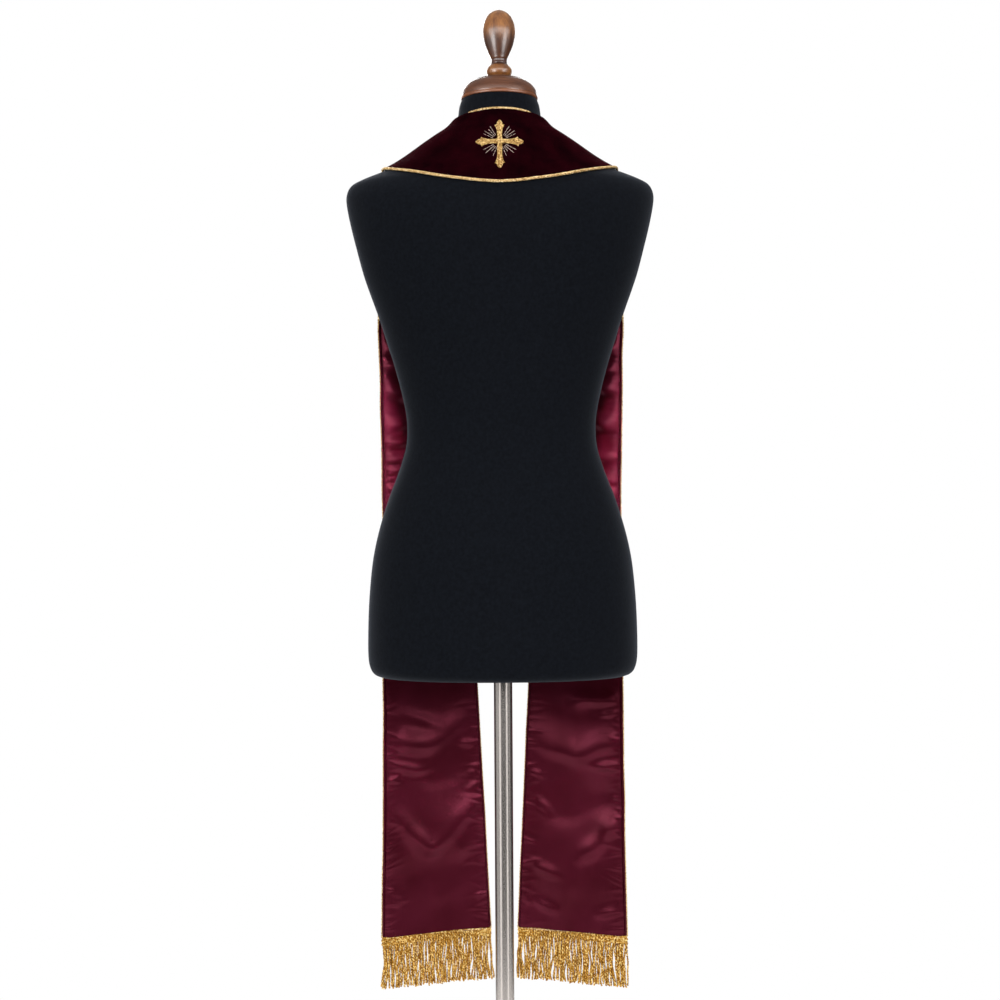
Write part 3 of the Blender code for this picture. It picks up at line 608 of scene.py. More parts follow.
# Creases: a half width and a rise in tenths of a millimetre, then a path of (distance from the centre
# line in mm, height in mm, strength in tenths).
satinCreases = {"left": (
    (110, 44, (150, 676, 3), (139, 673, 8), (122, 670, 10), (104, 670, 8), (83, 681, 6), (64, 696, 7),
     (50, 711, 4)),
    (60, 22, (141, 713, 5), (114, 704, 8), (92, 695, 4)),
    (70, 38, (154, 647, 6), (134, 640, 10), (118, 636, 8), (100, 639, 2)),
    (28, 18, (160, 680, 10), (150, 676, 5)),
    (42, 26, (160, 628, 10), (150, 624, 9), (140, 623, 2)),
    (40, 20, (64, 671, 2), (50, 668, 10), (38, 667, 6)),
    (36, 18, (44, 627, 5), (34, 636, 10)),
    (40, 22, (46, 606, 4), (38, 612, 10), (30, 620, 8)),
    (95, 50, (157, 582, 5), (139, 568, 7), (119, 545, 10), (98, 530, 9), (70, 555, 5), (51, 576, 7),
     (40, 587, 7), (30, 597, 3)),
    (140, 34, (62, 528, 10), (46, 536, 7)),
    (140, 14, (128, 486, 6), (90, 468, 10), (60, 480, 6)),
    (45, 18, (158, 468, 10), (146, 462, 8), (130, 464, 2)),
    (45, 18, (38, 454, 3), (30, 460, 10), (22, 468, 8)),
    (50, 72, (176, 1206, 10), (156, 1202, 10), (140, 1206, 6)),
    (58, 70, (176, 1183, 10), (156, 1178, 10), (130, 1184, 8)),
    (75, 87, (178, 1148, 10), (158, 1144, 10), (130, 1142, 10), (110, 1146, 6)),
    (36, 49, (178, 1125, 10), (166, 1120, 8), (152, 1123, 1)),
    (75, 84, (178, 1104, 10), (156, 1100, 10), (120, 1106, 8)),
    (55, 70, (178, 1079, 10), (156, 1075.5, 10), (124, 1082, 8)),
    (42, 72, (178, 1057, 10), (156, 1054, 10), (130, 1060, 8)),
    (36, 61, (178, 1041, 10), (156, 1039, 10), (134, 1046, 8)),
    (40, 64, (178, 1018, 10), (156, 1015, 10), (136, 1020, 8)),
    (80, 40, (140, 960, 5), (105, 945, 10), (70, 962, 5)),
    (80, 40, (135, 860, 5), (100, 842, 10), (66, 858, 5)),
), "right": (
    (66, 40, (98, 728, 2), (118, 729, 9), (136, 729, 10), (158, 731, 7)),
    (35, 26, (134, 709, 3), (146, 711, 10), (158, 715, 6)),
    (115, 48, (36, 682, 4), (62, 665, 6), (88, 658, 8), (106, 655, 10), (130, 667, 10), (148, 672, 9),
     (162, 676, 4)),
    (150, 40, (86, 722, 6), (104, 724, 10), (120, 722, 5)),
    (45, 34, (118, 640, 3), (138, 640, 10), (160, 642, 8)),
    (40, 22, (34, 633, 7), (44, 627, 10), (56, 624, 3)),
    (30, 18, (36, 618, 8), (46, 617, 4)),
    (50, 26, (44, 594, 4), (54, 584, 10), (64, 574, 4)),
    (90, 52, (162, 566, 5), (147, 559, 10), (135, 546, 7), (120, 528, 9), (103, 515, 3)),
    (60, 30, (42, 505, 4), (58, 496, 10), (76, 490, 3)),
    (46, 22, (42, 455, 4), (56, 447, 10), (70, 442, 4)),
    (46, 24, (128, 440, 4), (142, 444, 10), (158, 450, 7)),
    (30, 18, (24, 478, 8), (34, 470, 5)),
    (35, 22, (24, 462, 9), (34, 452, 6)),
    (50, 72, (176, 1203, 10), (156, 1199, 10), (140, 1202, 6)),
    (58, 67, (176, 1176, 10), (156, 1172, 10), (130, 1178, 8)),
    (75, 87, (178, 1151, 10), (158, 1147, 10), (120, 1157, 8)),
    (36, 49, (178, 1129, 10), (166, 1125, 8), (152, 1129, 1)),
    (80, 90, (178, 1096, 7), (156, 1099, 10), (120, 1108, 10)),
    (36, 52, (178, 1076, 10), (166, 1072, 9), (154, 1075, 1)),
    (55, 67, (178, 1052, 10), (156, 1053, 10), (124, 1064, 8)),
    (45, 72, (178, 1027, 10), (156, 1026, 10), (134, 1034, 8)),
    (40, 61, (178, 1006, 10), (156, 1004, 10), (136, 1010, 8)),
    (80, 40, (140, 945, 5), (105, 930, 10), (70, 944, 5)),
    (80, 40, (135, 850, 5), (100, 834, 10), (66, 852, 5)),
)}
velvetCreases = {"left": (
    (85, 14, (126, 1408, 8), (98, 1422, 10), (68, 1442, 6)),
    (130, 18, (140, 1150, 6), (105, 1138, 10), (75, 1148, 6)),
    (140, 20, (60, 1010, 6), (95, 990, 10), (140, 1000, 6)),
    (140, 18, (145, 840, 6), (100, 826, 10), (55, 846, 6)),
    (130, 20, (50, 640, 6), (95, 622, 10), (140, 650, 6)),
), "right": (
    (85, 14, (122, 1412, 8), (96, 1424, 10), (70, 1443, 6)),
    (130, 18, (145, 1130, 6), (110, 1120, 10), (78, 1134, 6)),
    (140, 20, (55, 970, 6), (95, 952, 10), (145, 972, 6)),
    (140, 18, (140, 800, 6), (95, 786, 10), (50, 800, 6)),
    (130, 20, (45, 590, 6), (90, 572, 10), (140, 596, 6)),
)}
creaseLook = {"millimetres": (1000.0, 1000.0, 10.0), "tenths": 10000.0, "topSpread": 1.6,
              "footSpread": 1.1, "finer": 6, "edgeEase": 0.006, "backFade": 0.03, "hangs": 1.25}
bulgeLook = {"width": 0.021, "rise": 0.0085, "below": 0.0020, "low": 0.92, "high": 1.02}
puckerLook = {  # a size in brackets is multiplied by a number drawn between the other two
    "seed": 41, "first": 0.02, "last": 0.01, "apart": (0.0085, 0.5, 1.7), "long": (0.016, 0.5, 1.5),
    "half": (0.0019, 0.7, 1.6), "rise": (0.0009, 0.25, 1.2), "slope": (0.45, -1.0, 1.0),
    "swellSeed": 7, "swells": 60, "swellPlace": (1.0, 0.15, 0.85), "swellSize": (0.055, 0.5, 1.2),
    "swell": (0.0016, -0.2, 1.0), "swellWide": 0.6, "puff": 0.0004}
freeLook = {"from": 1.262, "fade": 0.025}


def creaseRise(points, creases):
    x, z = np.abs(points[..., 0]), points[..., 2]
    total = np.zeros(x.shape)
    finer = creaseLook["finer"]
    for half, rise, *path in creases:
        samples = np.arange((len(path) - 1) * finer + 1) / finer
        curve = curveWeights(len(path), samples) @ (np.array(path) / creaseLook["millimetres"])
        nearest, above, strength = np.full(x.shape, 1.0), np.zeros(x.shape), np.zeros(x.shape)
        for (ax, az, first), (bx, bz, last) in zip(curve, curve[1:]):
            dx, dz = bx - ax, bz - az
            t = np.clip(((x - ax) * dx + (z - az) * dz) / (dx * dx + dz * dz), 0.0, 1.0)
            rising = z - az - t * dz
            away = np.hypot(x - ax - t * dx, rising)
            closer = away < nearest
            nearest = np.where(closer, away, nearest)
            above = np.where(closer, rising, above)
            strength = np.where(closer, first + t * (last - first), strength)
        share = 0.5 + 0.5 * above / np.maximum(nearest, meshFit["seam"])
        foot, top = creaseLook["footSpread"], creaseLook["topSpread"]
        spread = half / creaseLook["tenths"] * (foot + (top - foot) * share)
        total += rise / creaseLook["tenths"] * strength * np.exp(-(nearest / spread) ** 2)
    return total


def puckerRise(grid, side):  # short gathers square to the long edges, where the lining is sewn
    seed = puckerLook["seed"] + int(sides[side])
    draw = np.random.default_rng(seed)

    def drawn(label):
        size, low, high = puckerLook[label]
        return size * draw.uniform(low, high)
    down = runs(grid[:, 0])
    total = np.zeros(grid.shape[:2])
    for away in edgeWays(grid):
        place = puckerLook["first"]
        while place < down[-1] - puckerLook["last"]:
            place += drawn("apart")
            long, half, rise, slope = map(drawn, ("long", "half", "rise", "slope"))
            ahead = down[:, None] - place - slope * away
            total += rise * np.exp(-(ahead / half) ** 2 - (away / long) ** 2)
    draw = np.random.default_rng(seed + puckerLook["swellSeed"])
    inner, outer = edgeWays(grid)
    for _ in range(puckerLook["swells"]):
        place, share, size = draw.uniform(0.0, down[-1]), drawn("swellPlace"), drawn("swellSize")
        across = (inner - share * (inner + outer)) / (puckerLook["swellWide"] * size)
        total += drawn("swell") * np.exp(-((down[:, None] - place) / size) ** 2 - across ** 2)
    return total


def freeShare(grid):  # 1 where the panels hang free of the form, 0 on the neck and shoulders
    hanging = np.clip((freeLook["from"] - grid[..., 2]) / freeLook["fade"], 0.0, 1.0)
    return hanging * (grid[..., 1] < 0.0)


def bulgeRise(grid, outer):  # the lining is fuller beside the outer edge, most so at the waist
    low, high = bulgeLook["low"], bulgeLook["high"]
    full = np.clip((grid[..., 2] - low) / (high - low), 0.0, 1.0)
    share = outer / bulgeLook["width"]
    rise = bulgeLook["below"] + (bulgeLook["rise"] - bulgeLook["below"]) * full
    return rise * share * np.exp(1.0 - share)


def wallPiece(name, front, back, hand, material):
    places = np.arange(front[..., 0].size).reshape(front.shape[:2])
    count = places.size
    skin = gridFaces(*places.shape)
    under = [tuple(count + k for k in face)[::-1] for face in skin]
    rim = [*places[:, 0], *places[-1, 1:], *places[-2::-1, -1], *places[0, -2:0:-1]]
    walls = [(b, a, count + a, count + b) for a, b in zip(rim, rim[1:] + rim[:1])]
    faces = skin + under + walls
    if hand > 0:
        faces = [face[::-1] for face in faces]
    return addMesh(name, np.concatenate([front.reshape(-1, 3), back.reshape(-1, 3)]), faces, material)


lapLook = {"steps": 6, "from": -58.0, "hidden": -60.0, "inner": 20.0, "outer": 8.0,
           "clear": 0.0022, "corner": 0.0050, "cornerRows": 5}


def lapOver(side, outward, depth, free):  # the lining rolls over each cord, a little past its +Y side
    laps = {}
    for edge, column in (("inner", 0), ("outer", -1)):
        middle, normal = cordLines[side][edge], outward[:, column]
        away = middle - clothFaces[side][:, column]
        away = unit(away - normal * np.sum(away * normal, axis=1, keepdims=True))
        back = np.degrees(np.arctan2(away[:, 1], -normal[:, 1]))
        last = lapLook["hidden"] + (back + lapLook[edge] - lapLook["hidden"]) * free[:, column]
        columns = []
        for k in range(lapLook["steps"] + 1):
            a = np.radians(lapLook["from"] + (last - lapLook["from"]) * k / lapLook["steps"])[:, None]
            columns.append(middle + (away * np.sin(a) - normal * np.cos(a)) * depth)
        laps[edge] = np.stack(columns, axis=1)
    return laps["inner"][:, ::-1], laps["outer"]


def roundCorners(grid):  # the hem's two corners are turned with a small radius
    radius, rows = lapLook["corner"], lapLook["cornerRows"]
    for away in edgeWays(grid[-1:]):
        inside = np.clip(radius - away[0], 0.0, radius)
        rise = radius - np.sqrt(radius ** 2 - inside ** 2)
        for k in range(rows):
            grid[len(grid) - rows + k, :, 2] += rise * (k + 1) / rows
    return grid


def makeCloth(side, hand):
    grid = clothFaces[side]
    outward = outwardOf(grid, hand)
    inner, outer = edgeWays(grid)
    ease = 1.0 - np.exp(-np.minimum(inner, outer) / creaseLook["edgeEase"])
    onBack = np.clip(grid[..., 1] / creaseLook["backFade"] + 1.0, 0.0, 1.0)
    onBack = np.where(grid[..., 2] < creaseLook["hangs"], 1.0, onBack)
    rise = creaseRise(grid, velvetCreases[side]) * ease * onBack
    rise += rollShare(grid) * rollLook["rise"] * np.exp(-(inner / rollLook["half"]) ** 2)
    face = grid + outward * rise[..., None]
    under = face - outward * clothLook["velvetWall"]
    coarse = np.unique(np.append(np.arange(0, len(face), 2), len(face) - 1))  # every second row
    velvetPiece = wallPiece("velvet" + side.title(), face[coarse], under[coarse], hand, velvet)
    free = freeShare(grid)
    puff = creaseRise(grid, satinCreases[side]) * ease + puckerRise(grid, side)
    puff = (puff + bulgeRise(grid, outer)) * free
    puff = np.minimum(np.maximum(puff, 0.0) + puckerLook["puff"] * ease, roomUnder(grid))
    top = clothLook["velvetWall"] + clothLook["between"] + puff
    liningTop = face - outward * top[..., None]
    skins = []
    for depth in (0.0, clothLook["liningWall"]):
        before, after = lapOver(side, outward, lapLook["clear"] + depth, free)
        skins.append(roundCorners(np.concatenate([before, liningTop - outward * depth, after], axis=1)))
    return velvetPiece, wallPiece("lining" + side.title(), *skins, hand, satin), skins[1]


cloths = {side: makeCloth(side, hand) for side, hand in sides.items()}
print("cloth made")


def addStep(tree, kind, settings=None, **inputs):  # what comes first out of a Geometry Nodes node
    return addNode(tree, "GeometryNode" + kind, settings, **inputs).outputs[0]


def readMark(tree, name, kind="FLOAT_VECTOR"):
    return addStep(tree, "InputNamedAttribute", {"data_type": kind}, Name=name)


def storeMark(tree, geometry, name, value, kind="FLOAT_VECTOR", domain="INSTANCE"):
    return addStep(tree, "StoreNamedAttribute", {"data_type": kind, "domain": domain},
                   Geometry=geometry, Name=name, Value=value)


def newTree(name, sizes):  # its inputs are the sizes, which are whole numbers or not, and a material
    tree = bpy.data.node_groups.new(name, "GeometryNodeTree")
    kinds = {label: "Int" if isinstance(size, int) else "Float" for label, size in sizes.items()}
    for label, kind in {"path": "Geometry", **kinds, "material": "Material"}.items():
        tree.interface.new_socket(label, in_out="INPUT", socket_type="NodeSocket" + kind)
    tree.interface.new_socket("threads", in_out="OUTPUT", socket_type="NodeSocketGeometry")
    return tree, tree.nodes.new("NodeGroupInput").outputs


def closeTree(tree, paths, radius, given):  # a thread along each path, closed at its ends
    ring = addStep(tree, "CurvePrimitiveCircle", Resolution=given["facets"], Radius=radius)
    tube = addStep(tree, "CurveToMesh", Curve=paths, Profile_Curve=ring, Fill_Caps=True)
    smooth = addStep(tree, "SetShadeSmooth", i0=tube)
    real = addStep(tree, "RealizeInstances", i0=smooth)
    painted = addStep(tree, "SetMaterial", Geometry=real, Material=given["material"])
    tree.links.new(painted, tree.nodes.new("NodeGroupOutput").inputs[0])
    return tree


def closePlies(tree, paths, paintedShade, offset, radius, given):
    # the ply's place is stored so that the finish paints later plies darker (painted shade)
    toned = storeMark(tree, paths, "paintedShade", paintedShade, "FLOAT", "CURVE")
    moved = addStep(tree, "SetPosition", Geometry=toned, Offset=offset)
    return closeTree(tree, moved, radius, given)


def growFrom(name, verts, edges, tree, values, marks=None):
    mesh = bpy.data.meshes.new(name)
    mesh.from_pydata([tuple(v) for v in verts], edges, [])
    for label, numbers in (marks or {}).items():
        kind = "FLOAT" if np.ndim(numbers) == 1 else "FLOAT_VECTOR"
        layer = mesh.attributes.new(label, kind, "POINT")
        layer.data.foreach_set("value" if kind == "FLOAT" else "vector", np.ravel(numbers))
    piece = linkNew(name, mesh)
    modifier = piece.modifiers.new(tree.name, "NODES")
    modifier.node_group = tree
    for item in tree.interface.items_tree:
        if item.in_out == "INPUT" and item.name in values:
            modifier[item.identifier] = values[item.name]
    graph = bpy.context.evaluated_depsgraph_get()
    grown = bpy.data.meshes.new_from_object(piece.evaluated_get(graph))
    piece.modifiers.clear()
    piece.data = grown
    return piece


cordLook = {"strands": 3, "offset": 0.00106, "thread": 0.00088, "lay": 0.0112, "step": 0.0012,
            "facets": 6}


def cordTree():  # strands laid round each other along the path
    tree, given = newTree("twistedCord", cordLook)
    line = addStep(tree, "MeshToCurve", i0=given["path"])
    even = addStep(tree, "ResampleCurve", {"mode": "LENGTH"}, Curve=line, Length=given["step"])
    copies = addNode(tree, "GeometryNodeDuplicateElements", {"domain": "SPLINE"}, Geometry=even,
                     Amount=given["strands"]).outputs
    length = addNode(tree, "GeometryNodeSplineParameter").outputs["Length"]
    share = over(copies[1], given["strands"])
    angle = times(plus(over(length, given["lay"]), share), math.tau)
    normal, tangent = addStep(tree, "InputNormal"), addStep(tree, "InputTangent")
    beside = crossVector(tangent, normal)
    out = plusVector(scaled(normal, cosine(angle)), scaled(beside, sine(angle)))
    return closePlies(tree, copies[0], share, scaled(out, given["offset"]), given["thread"], given)


twistedCord = cordTree()


def makeCord(edge, side):
    path = cordLines[side][edge]
    return growFrom(edge + "Cord" + side.title(), path, chain(len(path)), twistedCord,
                    {**cordLook, "material": goldCord})


cords = {(edge, side): makeCord(edge, side) for edge in ("inner", "outer") for side in sides}
print("cords made")


fringeLook = {"strands": 53, "length": 0.0665, "uneven": 0.030, "ply": 0.00077, "offset": 0.00076,
              "lay": 0.0046, "points": 46, "facets": 5, "clump": 0.0082, "clumpSize": 100.0,
              "wander": 0.0050, "wanderSize": 70.0, "ease": 0.5, "close": 0.45, "flare": 0.03,
              "phase": 1700.0, "shift": 0.015, "rootSpread": 9.0, "seedSpread": 2.6, "middle": 0.0,
              "seed": 3.0}
rootLook = {"rows": 2, "apart": 0.0021, "first": (0.0, 0.0072), "last": (0.014, 0.0068), "points": 24,
            "drop": 0.0015}


def fringeTree():  # two plies twisted into each bullion, which sways, gathers and flares
    tree, given = newTree("bullionFringe", fringeLook)
    line = addStep(tree, "MeshToCurve", i0=given["path"])
    roots = addStep(tree, "CurveToPoints", {"mode": "COUNT"}, Curve=line, Count=given["strands"])
    drop = addStep(tree, "CurvePrimitiveLine", Start=(0, 0, 0), End=(0, 0, -1))
    strand = addStep(tree, "ResampleCurve", {"mode": "COUNT"}, Curve=drop, Count=given["points"])
    chance = addNode(tree, "FunctionNodeRandomValue", {"data_type": "FLOAT"}, i2=-1.0, i3=1.0,
                     ID=addStep(tree, "InputIndex"), Seed=5).outputs[1]
    tall = times(given["length"], plus(1.0, times(chance, given["uneven"])))
    hung = addStep(tree, "InstanceOnPoints", Points=roots, Instance=strand,
                   Scale=vectorOf(tree, X=1.0, Y=1.0, Z=tall))
    marked = storeMark(tree, hung, "root", addStep(tree, "InputPosition"))
    real = addStep(tree, "RealizeInstances", i0=marked)
    plies = addNode(tree, "GeometryNodeDuplicateElements", {"domain": "SPLINE"}, Geometry=real,
                    Amount=2).outputs
    root = readMark(tree, "root")
    rootX = partsOf(root)[0]
    share, length = addNode(tree, "GeometryNodeSplineParameter").outputs[:2]
    half = times(plies[1], 0.5)
    turns = times(plus(over(length, given["lay"]), half), math.tau)
    angle = plus(turns, times(rootX, given["phase"]))
    twist = vectorOf(tree, X=cosine(angle), Y=sine(angle))
    seeded = vectorOf(tree, X=given["seed"], Y=given["seed"], Z=times(share, given["shift"]))

    def strayOf(place, scale, detail, reach):
        noise = addNode(tree, "ShaderNodeTexNoise", Vector=place, Scale=scale, Detail=detail)
        return scaled(minusVector(noise.outputs[1], (0.5, 0.5, 0.5)), times(reach, 2.0))
    gather = strayOf(plusVector(root, seeded), given["clumpSize"], 1.0, given["clump"])
    apart = plusVector(scaled(root, given["rootSpread"]), scaled(seeded, given["seedSpread"]))
    stray = strayOf(apart, given["wanderSize"], 0.0, given["wander"])
    closing = times(power(share, 2.0), given["close"])
    ease = times(power(share, given["ease"]), minus(1.0, closing))
    sway = timesVector(scaled(plusVector(gather, stray), ease), (1.0, 0.7, 0.0))  # less to the back
    splay = times(minus(rootX, given["middle"]), times(share, given["flare"]))
    offset = plusVector(plusVector(sway, vectorOf(tree, X=splay)), scaled(twist, given["offset"]))
    return closePlies(tree, plies[0], half, offset, given["ply"], given)


bullionFringe = fringeTree()


def hemLine(side, hand):  # the middle of the cloth's thickness along the hem, cord to cord
    grid, lines = clothFaces[side], cordLines[side]
    outward = outwardOf(grid, hand)[-1]
    hem = grid[-1] - outward * clothLook["velvetWall"]
    hem = np.concatenate([lines["inner"][-1:], hem, lines["outer"][-1:]])
    return hem, np.concatenate([outward[:1], outward, outward[-1:]])


def makeFringe(side, hand):
    hem, outward = hemLine(side, hand)
    verts, edges = [], []
    for row in range(rootLook["rows"]):
        line = hem + outward * (row - (rootLook["rows"] - 1) / 2) * rootLook["apart"]
        whole = line[-1] - line[0]
        first, last = line[0] + whole * rootLook["first"][row], line[-1] - whole * rootLook["last"][row]
        line = first + np.linspace(0, 1, rootLook["points"])[:, None] * (last - first)
        line[:, 2] -= rootLook["drop"]
        edges += chain(len(line), len(verts))
        verts += list(line)
    values = {**fringeLook, "middle": float(hem[:, 0].mean()), "seed": fringeLook["seed"] + hand,
              "material": goldFringe}
    return growFrom("fringe" + side.title(), verts, edges, bullionFringe, values)


fringes = {side: makeFringe(side, hand) for side, hand in sides.items()}
print("fringe made")


stitchLook = {"apart": 0.002, "thread": 0.0002, "arch": 0.0002, "facets": 5, "points": 5}


def stitchTree():  # each stitch is a short bent thread, laid along or across its path
    tree, given = newTree("stitches", stitchLook)
    line = addStep(tree, "MeshToCurve", i0=given["path"])
    spots = addStep(tree, "CurveToPoints", {"mode": "LENGTH"}, Curve=line, Length=given["apart"])
    bent = addStep(tree, "CurvePrimitiveLine", Start=(-1, 0, 0), End=(1, 0, 0))
    fine = addStep(tree, "ResampleCurve", {"mode": "COUNT"}, Curve=bent, Count=given["points"])
    hung = addStep(tree, "InstanceOnPoints", Points=spots, Instance=fine)
    for name, kind in (("half", "FLOAT"), ("lay", "FLOAT_VECTOR"), ("up", "FLOAT_VECTOR")):
        hung = storeMark(tree, hung, "spot" + name.title(), readMark(tree, name, kind), kind)
    hung = storeMark(tree, hung, "spot", addStep(tree, "InputPosition"))
    real = addStep(tree, "RealizeInstances", i0=hung)
    place = minus(times(addStep(tree, "SplineParameter"), 2.0), 1.0)
    reach = times(place, readMark(tree, "spotHalf", "FLOAT"))
    lift = times(minus(1.0, power(unsigned(place), 3.0)), given["arch"])
    along, out = scaled(readMark(tree, "spotLay"), reach), scaled(readMark(tree, "spotUp"), lift)
    moved = addStep(tree, "SetPosition", Geometry=real,
                    Position=plusVector(readMark(tree, "spot"), plusVector(along, out)))
    return closeTree(tree, moved, given["thread"], given)


stitches = stitchTree()


def sew(name, rows, look, material):  # a row is a line, half a stitch's length, its lay and its up
    lines, edges = [], []
    marks = {"half": [], "lay": [], "up": []}
    for line, half, lay, up in rows:
        edges += chain(len(line), len(lines))
        lines += list(line)
        marks["half"] += list(np.broadcast_to(half, len(line)))
        marks["lay"] += list(np.broadcast_to(lay, (len(line), 3)))
        marks["up"] += list(up)
    values = {**stitchLook, **look, "material": material}
    return growFrom(name, lines, edges, stitches, values,
                    {label: np.array(numbers) for label, numbers in marks.items()})


headingLook = {"rows": 4, "rowGap": 0.0026, "first": 0.0010, "off": 0.0011, "slant": 0.6,
               "apart": 0.0019, "half": 0.0018, "thread": 0.0007, "arch": 0.0009}


def makeHeading(side, hand):  # the fringe's knitted head, rows of slanting loops on both faces
    hem, outward = hemLine(side, hand)
    across = unit(hem[-1] - hem[0]) * headingLook["slant"]
    down = np.array([0.0, 0.0, -1.0])
    rows = []
    for face in (1.0, -1.0):
        for row in range(headingLook["rows"]):
            line = hem + outward * face * headingLook["off"]
            line = line + down * (headingLook["first"] + headingLook["rowGap"] * row)
            lay = unit(down + across * (1.0 if row % 2 else -1.0))
            rows.append((line, headingLook["half"], lay, outward * face))
    return sew("fringeHead" + side.title(), rows, headingLook, goldFringe)


heads = {side: makeHeading(side, hand) for side, hand in sides.items()}

seamLook = {"inset": 0.0016, "apart": 0.0056, "half": 0.0009, "thread": 0.00016, "facets": 4}


def makeSeams(side, hand):  # slip stitches that hold the lining beside each cord
    under = cloths[side][2]
    outward = outwardOf(under, hand)
    rows = []
    for column, beyond in ((0, 1), (-1, -2)):
        edge, inside = under[:, column], under[:, beyond]
        line = edge + unit(inside - edge) * seamLook["inset"]
        rows.append((line, seamLook["half"], unit(np.gradient(line, axis=0)), -outward[:, column]))
    return sew("liningStitches" + side.title(), rows, seamLook, wineThread)


seams = {side: makeSeams(side, hand) for side, hand in sides.items()}
print("stitches made")


crossLook = {"centre": 1.4405, "side": 0.0290, "top": 0.0290, "foot": 0.0358, "apart": 0.00030,
             "thread": 0.00020, "arch": 0.0007, "points": 9, "lift": 0.0006, "slant": 0.05,
             "samples": 100, "behind": 0.3}
# A side arm from its root to its tip: how far along, and its half width over its length. Each
# arm has the same head, and a longer arm has a longer stem.
crossArm = np.array((
    (-0.16, 0.105), (0.0, 0.105), (0.25, 0.098), (0.44, 0.112), (0.60, 0.148), (0.70, 0.188),
    (0.742, 0.222), (0.765, 0.160), (0.79, 0.126), (0.85, 0.118), (0.90, 0.100), (0.95, 0.072),
    (1.0, 0.030)))
rayLook = {"near": 0.0108, "far": 0.0214, "above": ((29.0, 0.94), (39.0, 1.0), (50.5, 0.90), (60.5, 1.0)),
           "below": ((29.0, 0.96), (42.0, 1.0), (54.0, 0.70), (67.0, 0.92)),
           "thread": 0.00018, "half": 0.0021, "apart": 0.0034, "samples": 8}


def bandSurface():  # both halves of the velvet as one surface
    verts, polygons = [], []
    for side in sides:
        mesh = cloths[side][0].data
        polygons += [[len(verts) + k for k in p.vertices] for p in mesh.polygons]
        verts += [tuple(v.co) for v in mesh.vertices]
    return BVHTree.FromPolygons(verts, polygons)


bandTree = bandSurface()


def onBand(u, v):  # a place on the neck band, laid on from straight behind, and its normal
    start = Vector((u, crossLook["behind"], crossLook["centre"] + v))
    return bandTree.ray_cast(start, Vector((0.0, -1.0, 0.0)))[:2]


def makeCross():
    root = crossLook["side"] * crossArm[1][1]
    sideLong = crossLook["side"] - root
    rows = []
    for c, s, length in ((1, 0, "side"), (0, 1, "top"), (-1, 0, "side"), (0, -1, "foot")):
        long = crossLook[length] - root
        line, half, lay, up = [], [], [], []
        for share in np.linspace(crossArm[0][0], 1.0, crossLook["samples"]):
            along = root + long * share
            reach = 1.0 - (1.0 - share) * long / sideLong
            width = crossLook["side"] * float(np.interp(reach, *crossArm.T))
            sidePlace, sideNormal = onBand(along * c - width * s, along * s + width * c)
            otherPlace, otherNormal = onBand(along * c + width * s, along * s - width * c)
            across, normal = sidePlace - otherPlace, (sideNormal + otherNormal).normalized()
            slant = Vector((c, 0.0, s)) * crossLook["slant"] * across.length
            line.append((sidePlace + otherPlace) / 2 + normal * crossLook["lift"])
            half.append(across.length / 2)
            lay.append((across + slant).normalized())
            up.append(normal)
        rows.append((line, half, lay, up))
    return sew("crossSatinStitch", rows, crossLook, goldSilk)


def makeRays():
    rows = []
    for acrossSign, upSign in ((1, 1), (-1, 1), (1, -1), (-1, -1)):
        for angle, share in rayLook["above" if upSign > 0 else "below"]:
            u, v = acrossSign * math.cos(math.radians(angle)), upSign * math.sin(math.radians(angle))
            radii = np.linspace(rayLook["near"], share * rayLook["far"], rayLook["samples"])
            spots = [onBand(radius * u, radius * v) for radius in radii]
            line = [place + normal * rayLook["thread"] for place, normal in spots]
            rows.append((line, rayLook["half"], (u, 0.0, v), [normal for _, normal in spots]))
    return sew("crossRays", rows, rayLook, paleSilk)


crossStitches = makeCross()
crossRays = makeRays()
print("cross made")


floorLook = {"radius": 1.2, "segments": 128, "colour": (0.80, 0.80, 0.79, 1.0),
             "from": (0.35, 0.96), "glow": (0.12, 0.95)}
airLook = {"seen": 1.0, "heights": (-0.2, 0.9), "light": (0.05, 0.52)}
# A lamp reaches all pieces, or all but with no reflection (soft), or only the stand and the turned
# wood (hard), only that wood, or only the lining and with no reflection (satin).
lampLook = (  # name, place, width, height, power, aim height, spread in degrees, reach
    ("topLamp", (0.0, 0.5, 3.3), 2.2, 2.2, 28.0, 0.9, 180.0, "soft"),
    ("leftBox", (2.05, 2.15, 0.75), 1.10, 3.2, 20.0, 0.75, 180.0, "hard"),
    ("rightBox", (-2.05, 2.15, 0.75), 0.90, 3.2, 17.0, 0.75, 180.0, "hard"),
    ("leftSide", (2.9, 0.3, 0.9), 2.2, 2.8, 12.0, 0.9, 180.0, "hard"),
    ("rightSide", (-2.85, 0.5, 0.9), 0.6, 2.8, 4.0, 0.9, 180.0, "hard"),
    ("backWash", (0.0, 4.2, 2.2), 6.0, 1.6, 180.0, 1.0, 180.0, "all"),
    ("leftWash", (3.9, 2.6, 2.2), 3.2, 1.6, 92.0, 1.0, 180.0, "all"),
    ("rightWash", (-3.9, 2.6, 2.2), 3.2, 1.6, 92.0, 1.0, 180.0, "all"),
    ("leftLow", (1.50, 1.45, 0.95), 1.1, 1.2, 44.0, 1.6, 180.0, "wood"),
    ("rightLow", (-1.50, 1.45, 0.95), 1.1, 1.2, 36.0, 1.6, 180.0, "wood"),
    ("waistFill", (0.0, 2.4, 2.50), 0.9, 0.4, 4.6, 1.10, 12.0, "satin"),
    ("frontLamp", (0.4, -3.0, 2.2), 2.4, 1.8, 84.0, 0.9, 180.0, "all"),
)


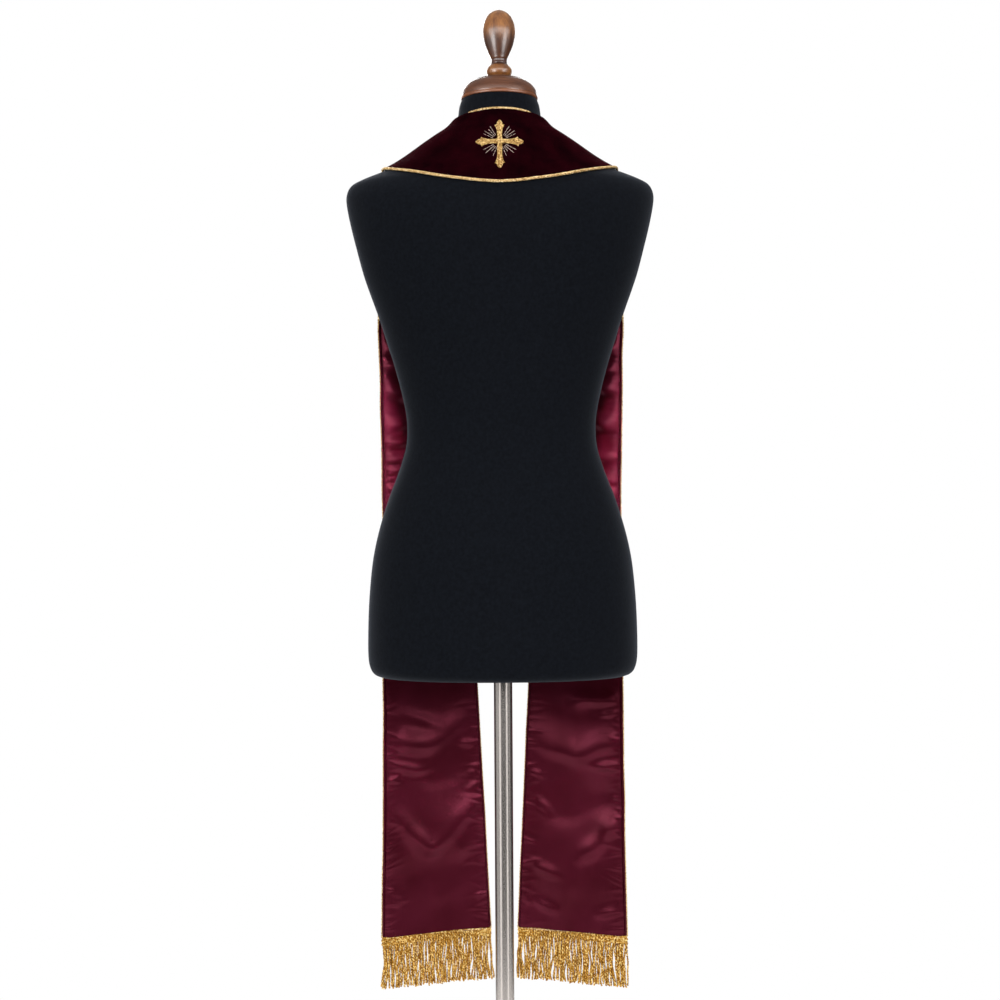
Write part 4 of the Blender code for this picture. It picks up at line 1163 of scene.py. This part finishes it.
def makeFloor():
    material, shader, place = newFinish("paleFloor", Base_Color=floorLook["colour"], Roughness=0.9,
                                        Specular_IOR_Level=0.1, Emission_Color=white)
    away = addNode(material.node_tree, "ShaderNodeVectorMath", {"operation": "LENGTH"}, i0=place)
    feed(shader, Emission_Strength=ranged(away.outputs[1], floorLook["from"], floorLook["glow"]))
    verts = [(floorLook["radius"] * math.cos(a), floorLook["radius"] * math.sin(a), 0.0)
             for a in anglesRound(floorLook["segments"])]
    addMesh("floor", verts, [tuple(range(len(verts)))], material)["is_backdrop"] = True


def makeAir():
    world = bpy.data.worlds.new("air")
    bpy.context.scene.world = world
    world.use_nodes = True
    tree = world.node_tree
    tree.nodes.clear()
    seen = addNode(tree, "ShaderNodeLightPath").outputs["Is Camera Ray"]
    place = addNode(tree, "ShaderNodeTexCoord").outputs["Generated"]
    bright = ranged(partsOf(place)[2], airLook["heights"], airLook["light"])
    lighting, shown = (addNode(tree, "ShaderNodeBackground", Color=white, Strength=strength).outputs[0]
                       for strength in (bright, airLook["seen"]))
    mixed = addNode(tree, "ShaderNodeMixShader", i0=seen, i1=lighting, i2=shown).outputs[0]
    addNode(tree, "ShaderNodeOutputWorld", Surface=mixed)


def makeLamps():
    reached = {"hard": (neckCap, finial, poleTube, footPlate, poleCollar, screw),
               "wood": (neckCap, finial), "satin": [cloths[side][1] for side in sides]}
    receivers = {reach: bpy.data.collections.new(reach + "Pieces") for reach in reached}
    for reach, pieces in reached.items():
        for piece in pieces:
            receivers[reach].objects.link(piece)
    for name, place, width, height, power, aim, spread, reach in lampLook:
        data = bpy.data.lights.new(name, "AREA")
        data.shape = "RECTANGLE"
        data.size = width
        data.size_y = height
        data.energy = power
        data.spread = math.radians(spread)
        lamp = linkNew(name, data)
        lamp.location = place
        lamp.visible_glossy = reach not in ("soft", "satin")
        if reach in receivers:
            lamp.light_linking.receiver_collection = receivers[reach]
        away = Vector(place) - Vector((0.0, 0.0, aim))
        lamp.rotation_euler = away.to_track_quat("Z", "Y").to_euler()


makeFloor()
makeAir()
makeLamps()
bpy.context.scene.view_settings.view_transform = "Standard"


def finishPiece(piece, slot, *replaced):
    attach(piece, "root")
    if replaced:
        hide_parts(*replaced)


finishPiece(formJersey, "jersey", "form_torso")
finishPiece(neckCap, "wood", "neck_cap")
finishPiece(finial, "wood", "finial")
finishPiece(poleTube, "steel", "pole")
finishPiece(footPlate, "steel", "base_plate")
finishPiece(poleCollar, "steel", "base_collar")
finishPiece(screw, "steel")
for side in sides:
    finishPiece(cloths[side][0], "velvet", "velvet_" + side)
    finishPiece(cloths[side][1], "satin", "lining_" + side)
    for edge in ("inner", "outer"):
        finishPiece(cords[edge, side], "gold_cord", edge + "_cord_" + side)
    finishPiece(fringes[side], "gold_fringe", "fringe_" + side)
    finishPiece(heads[side], "gold_fringe")
    finishPiece(seams[side], "satin")
finishPiece(crossStitches, "gold_embroidery", "cross")
finishPiece(crossRays, "gold_embroidery")

total = 0
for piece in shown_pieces():
    piece.data.calc_loop_triangles()
    total += len(piece.data.loop_triangles)
    print(piece.name, len(piece.data.loop_triangles))
print("triangles", total)
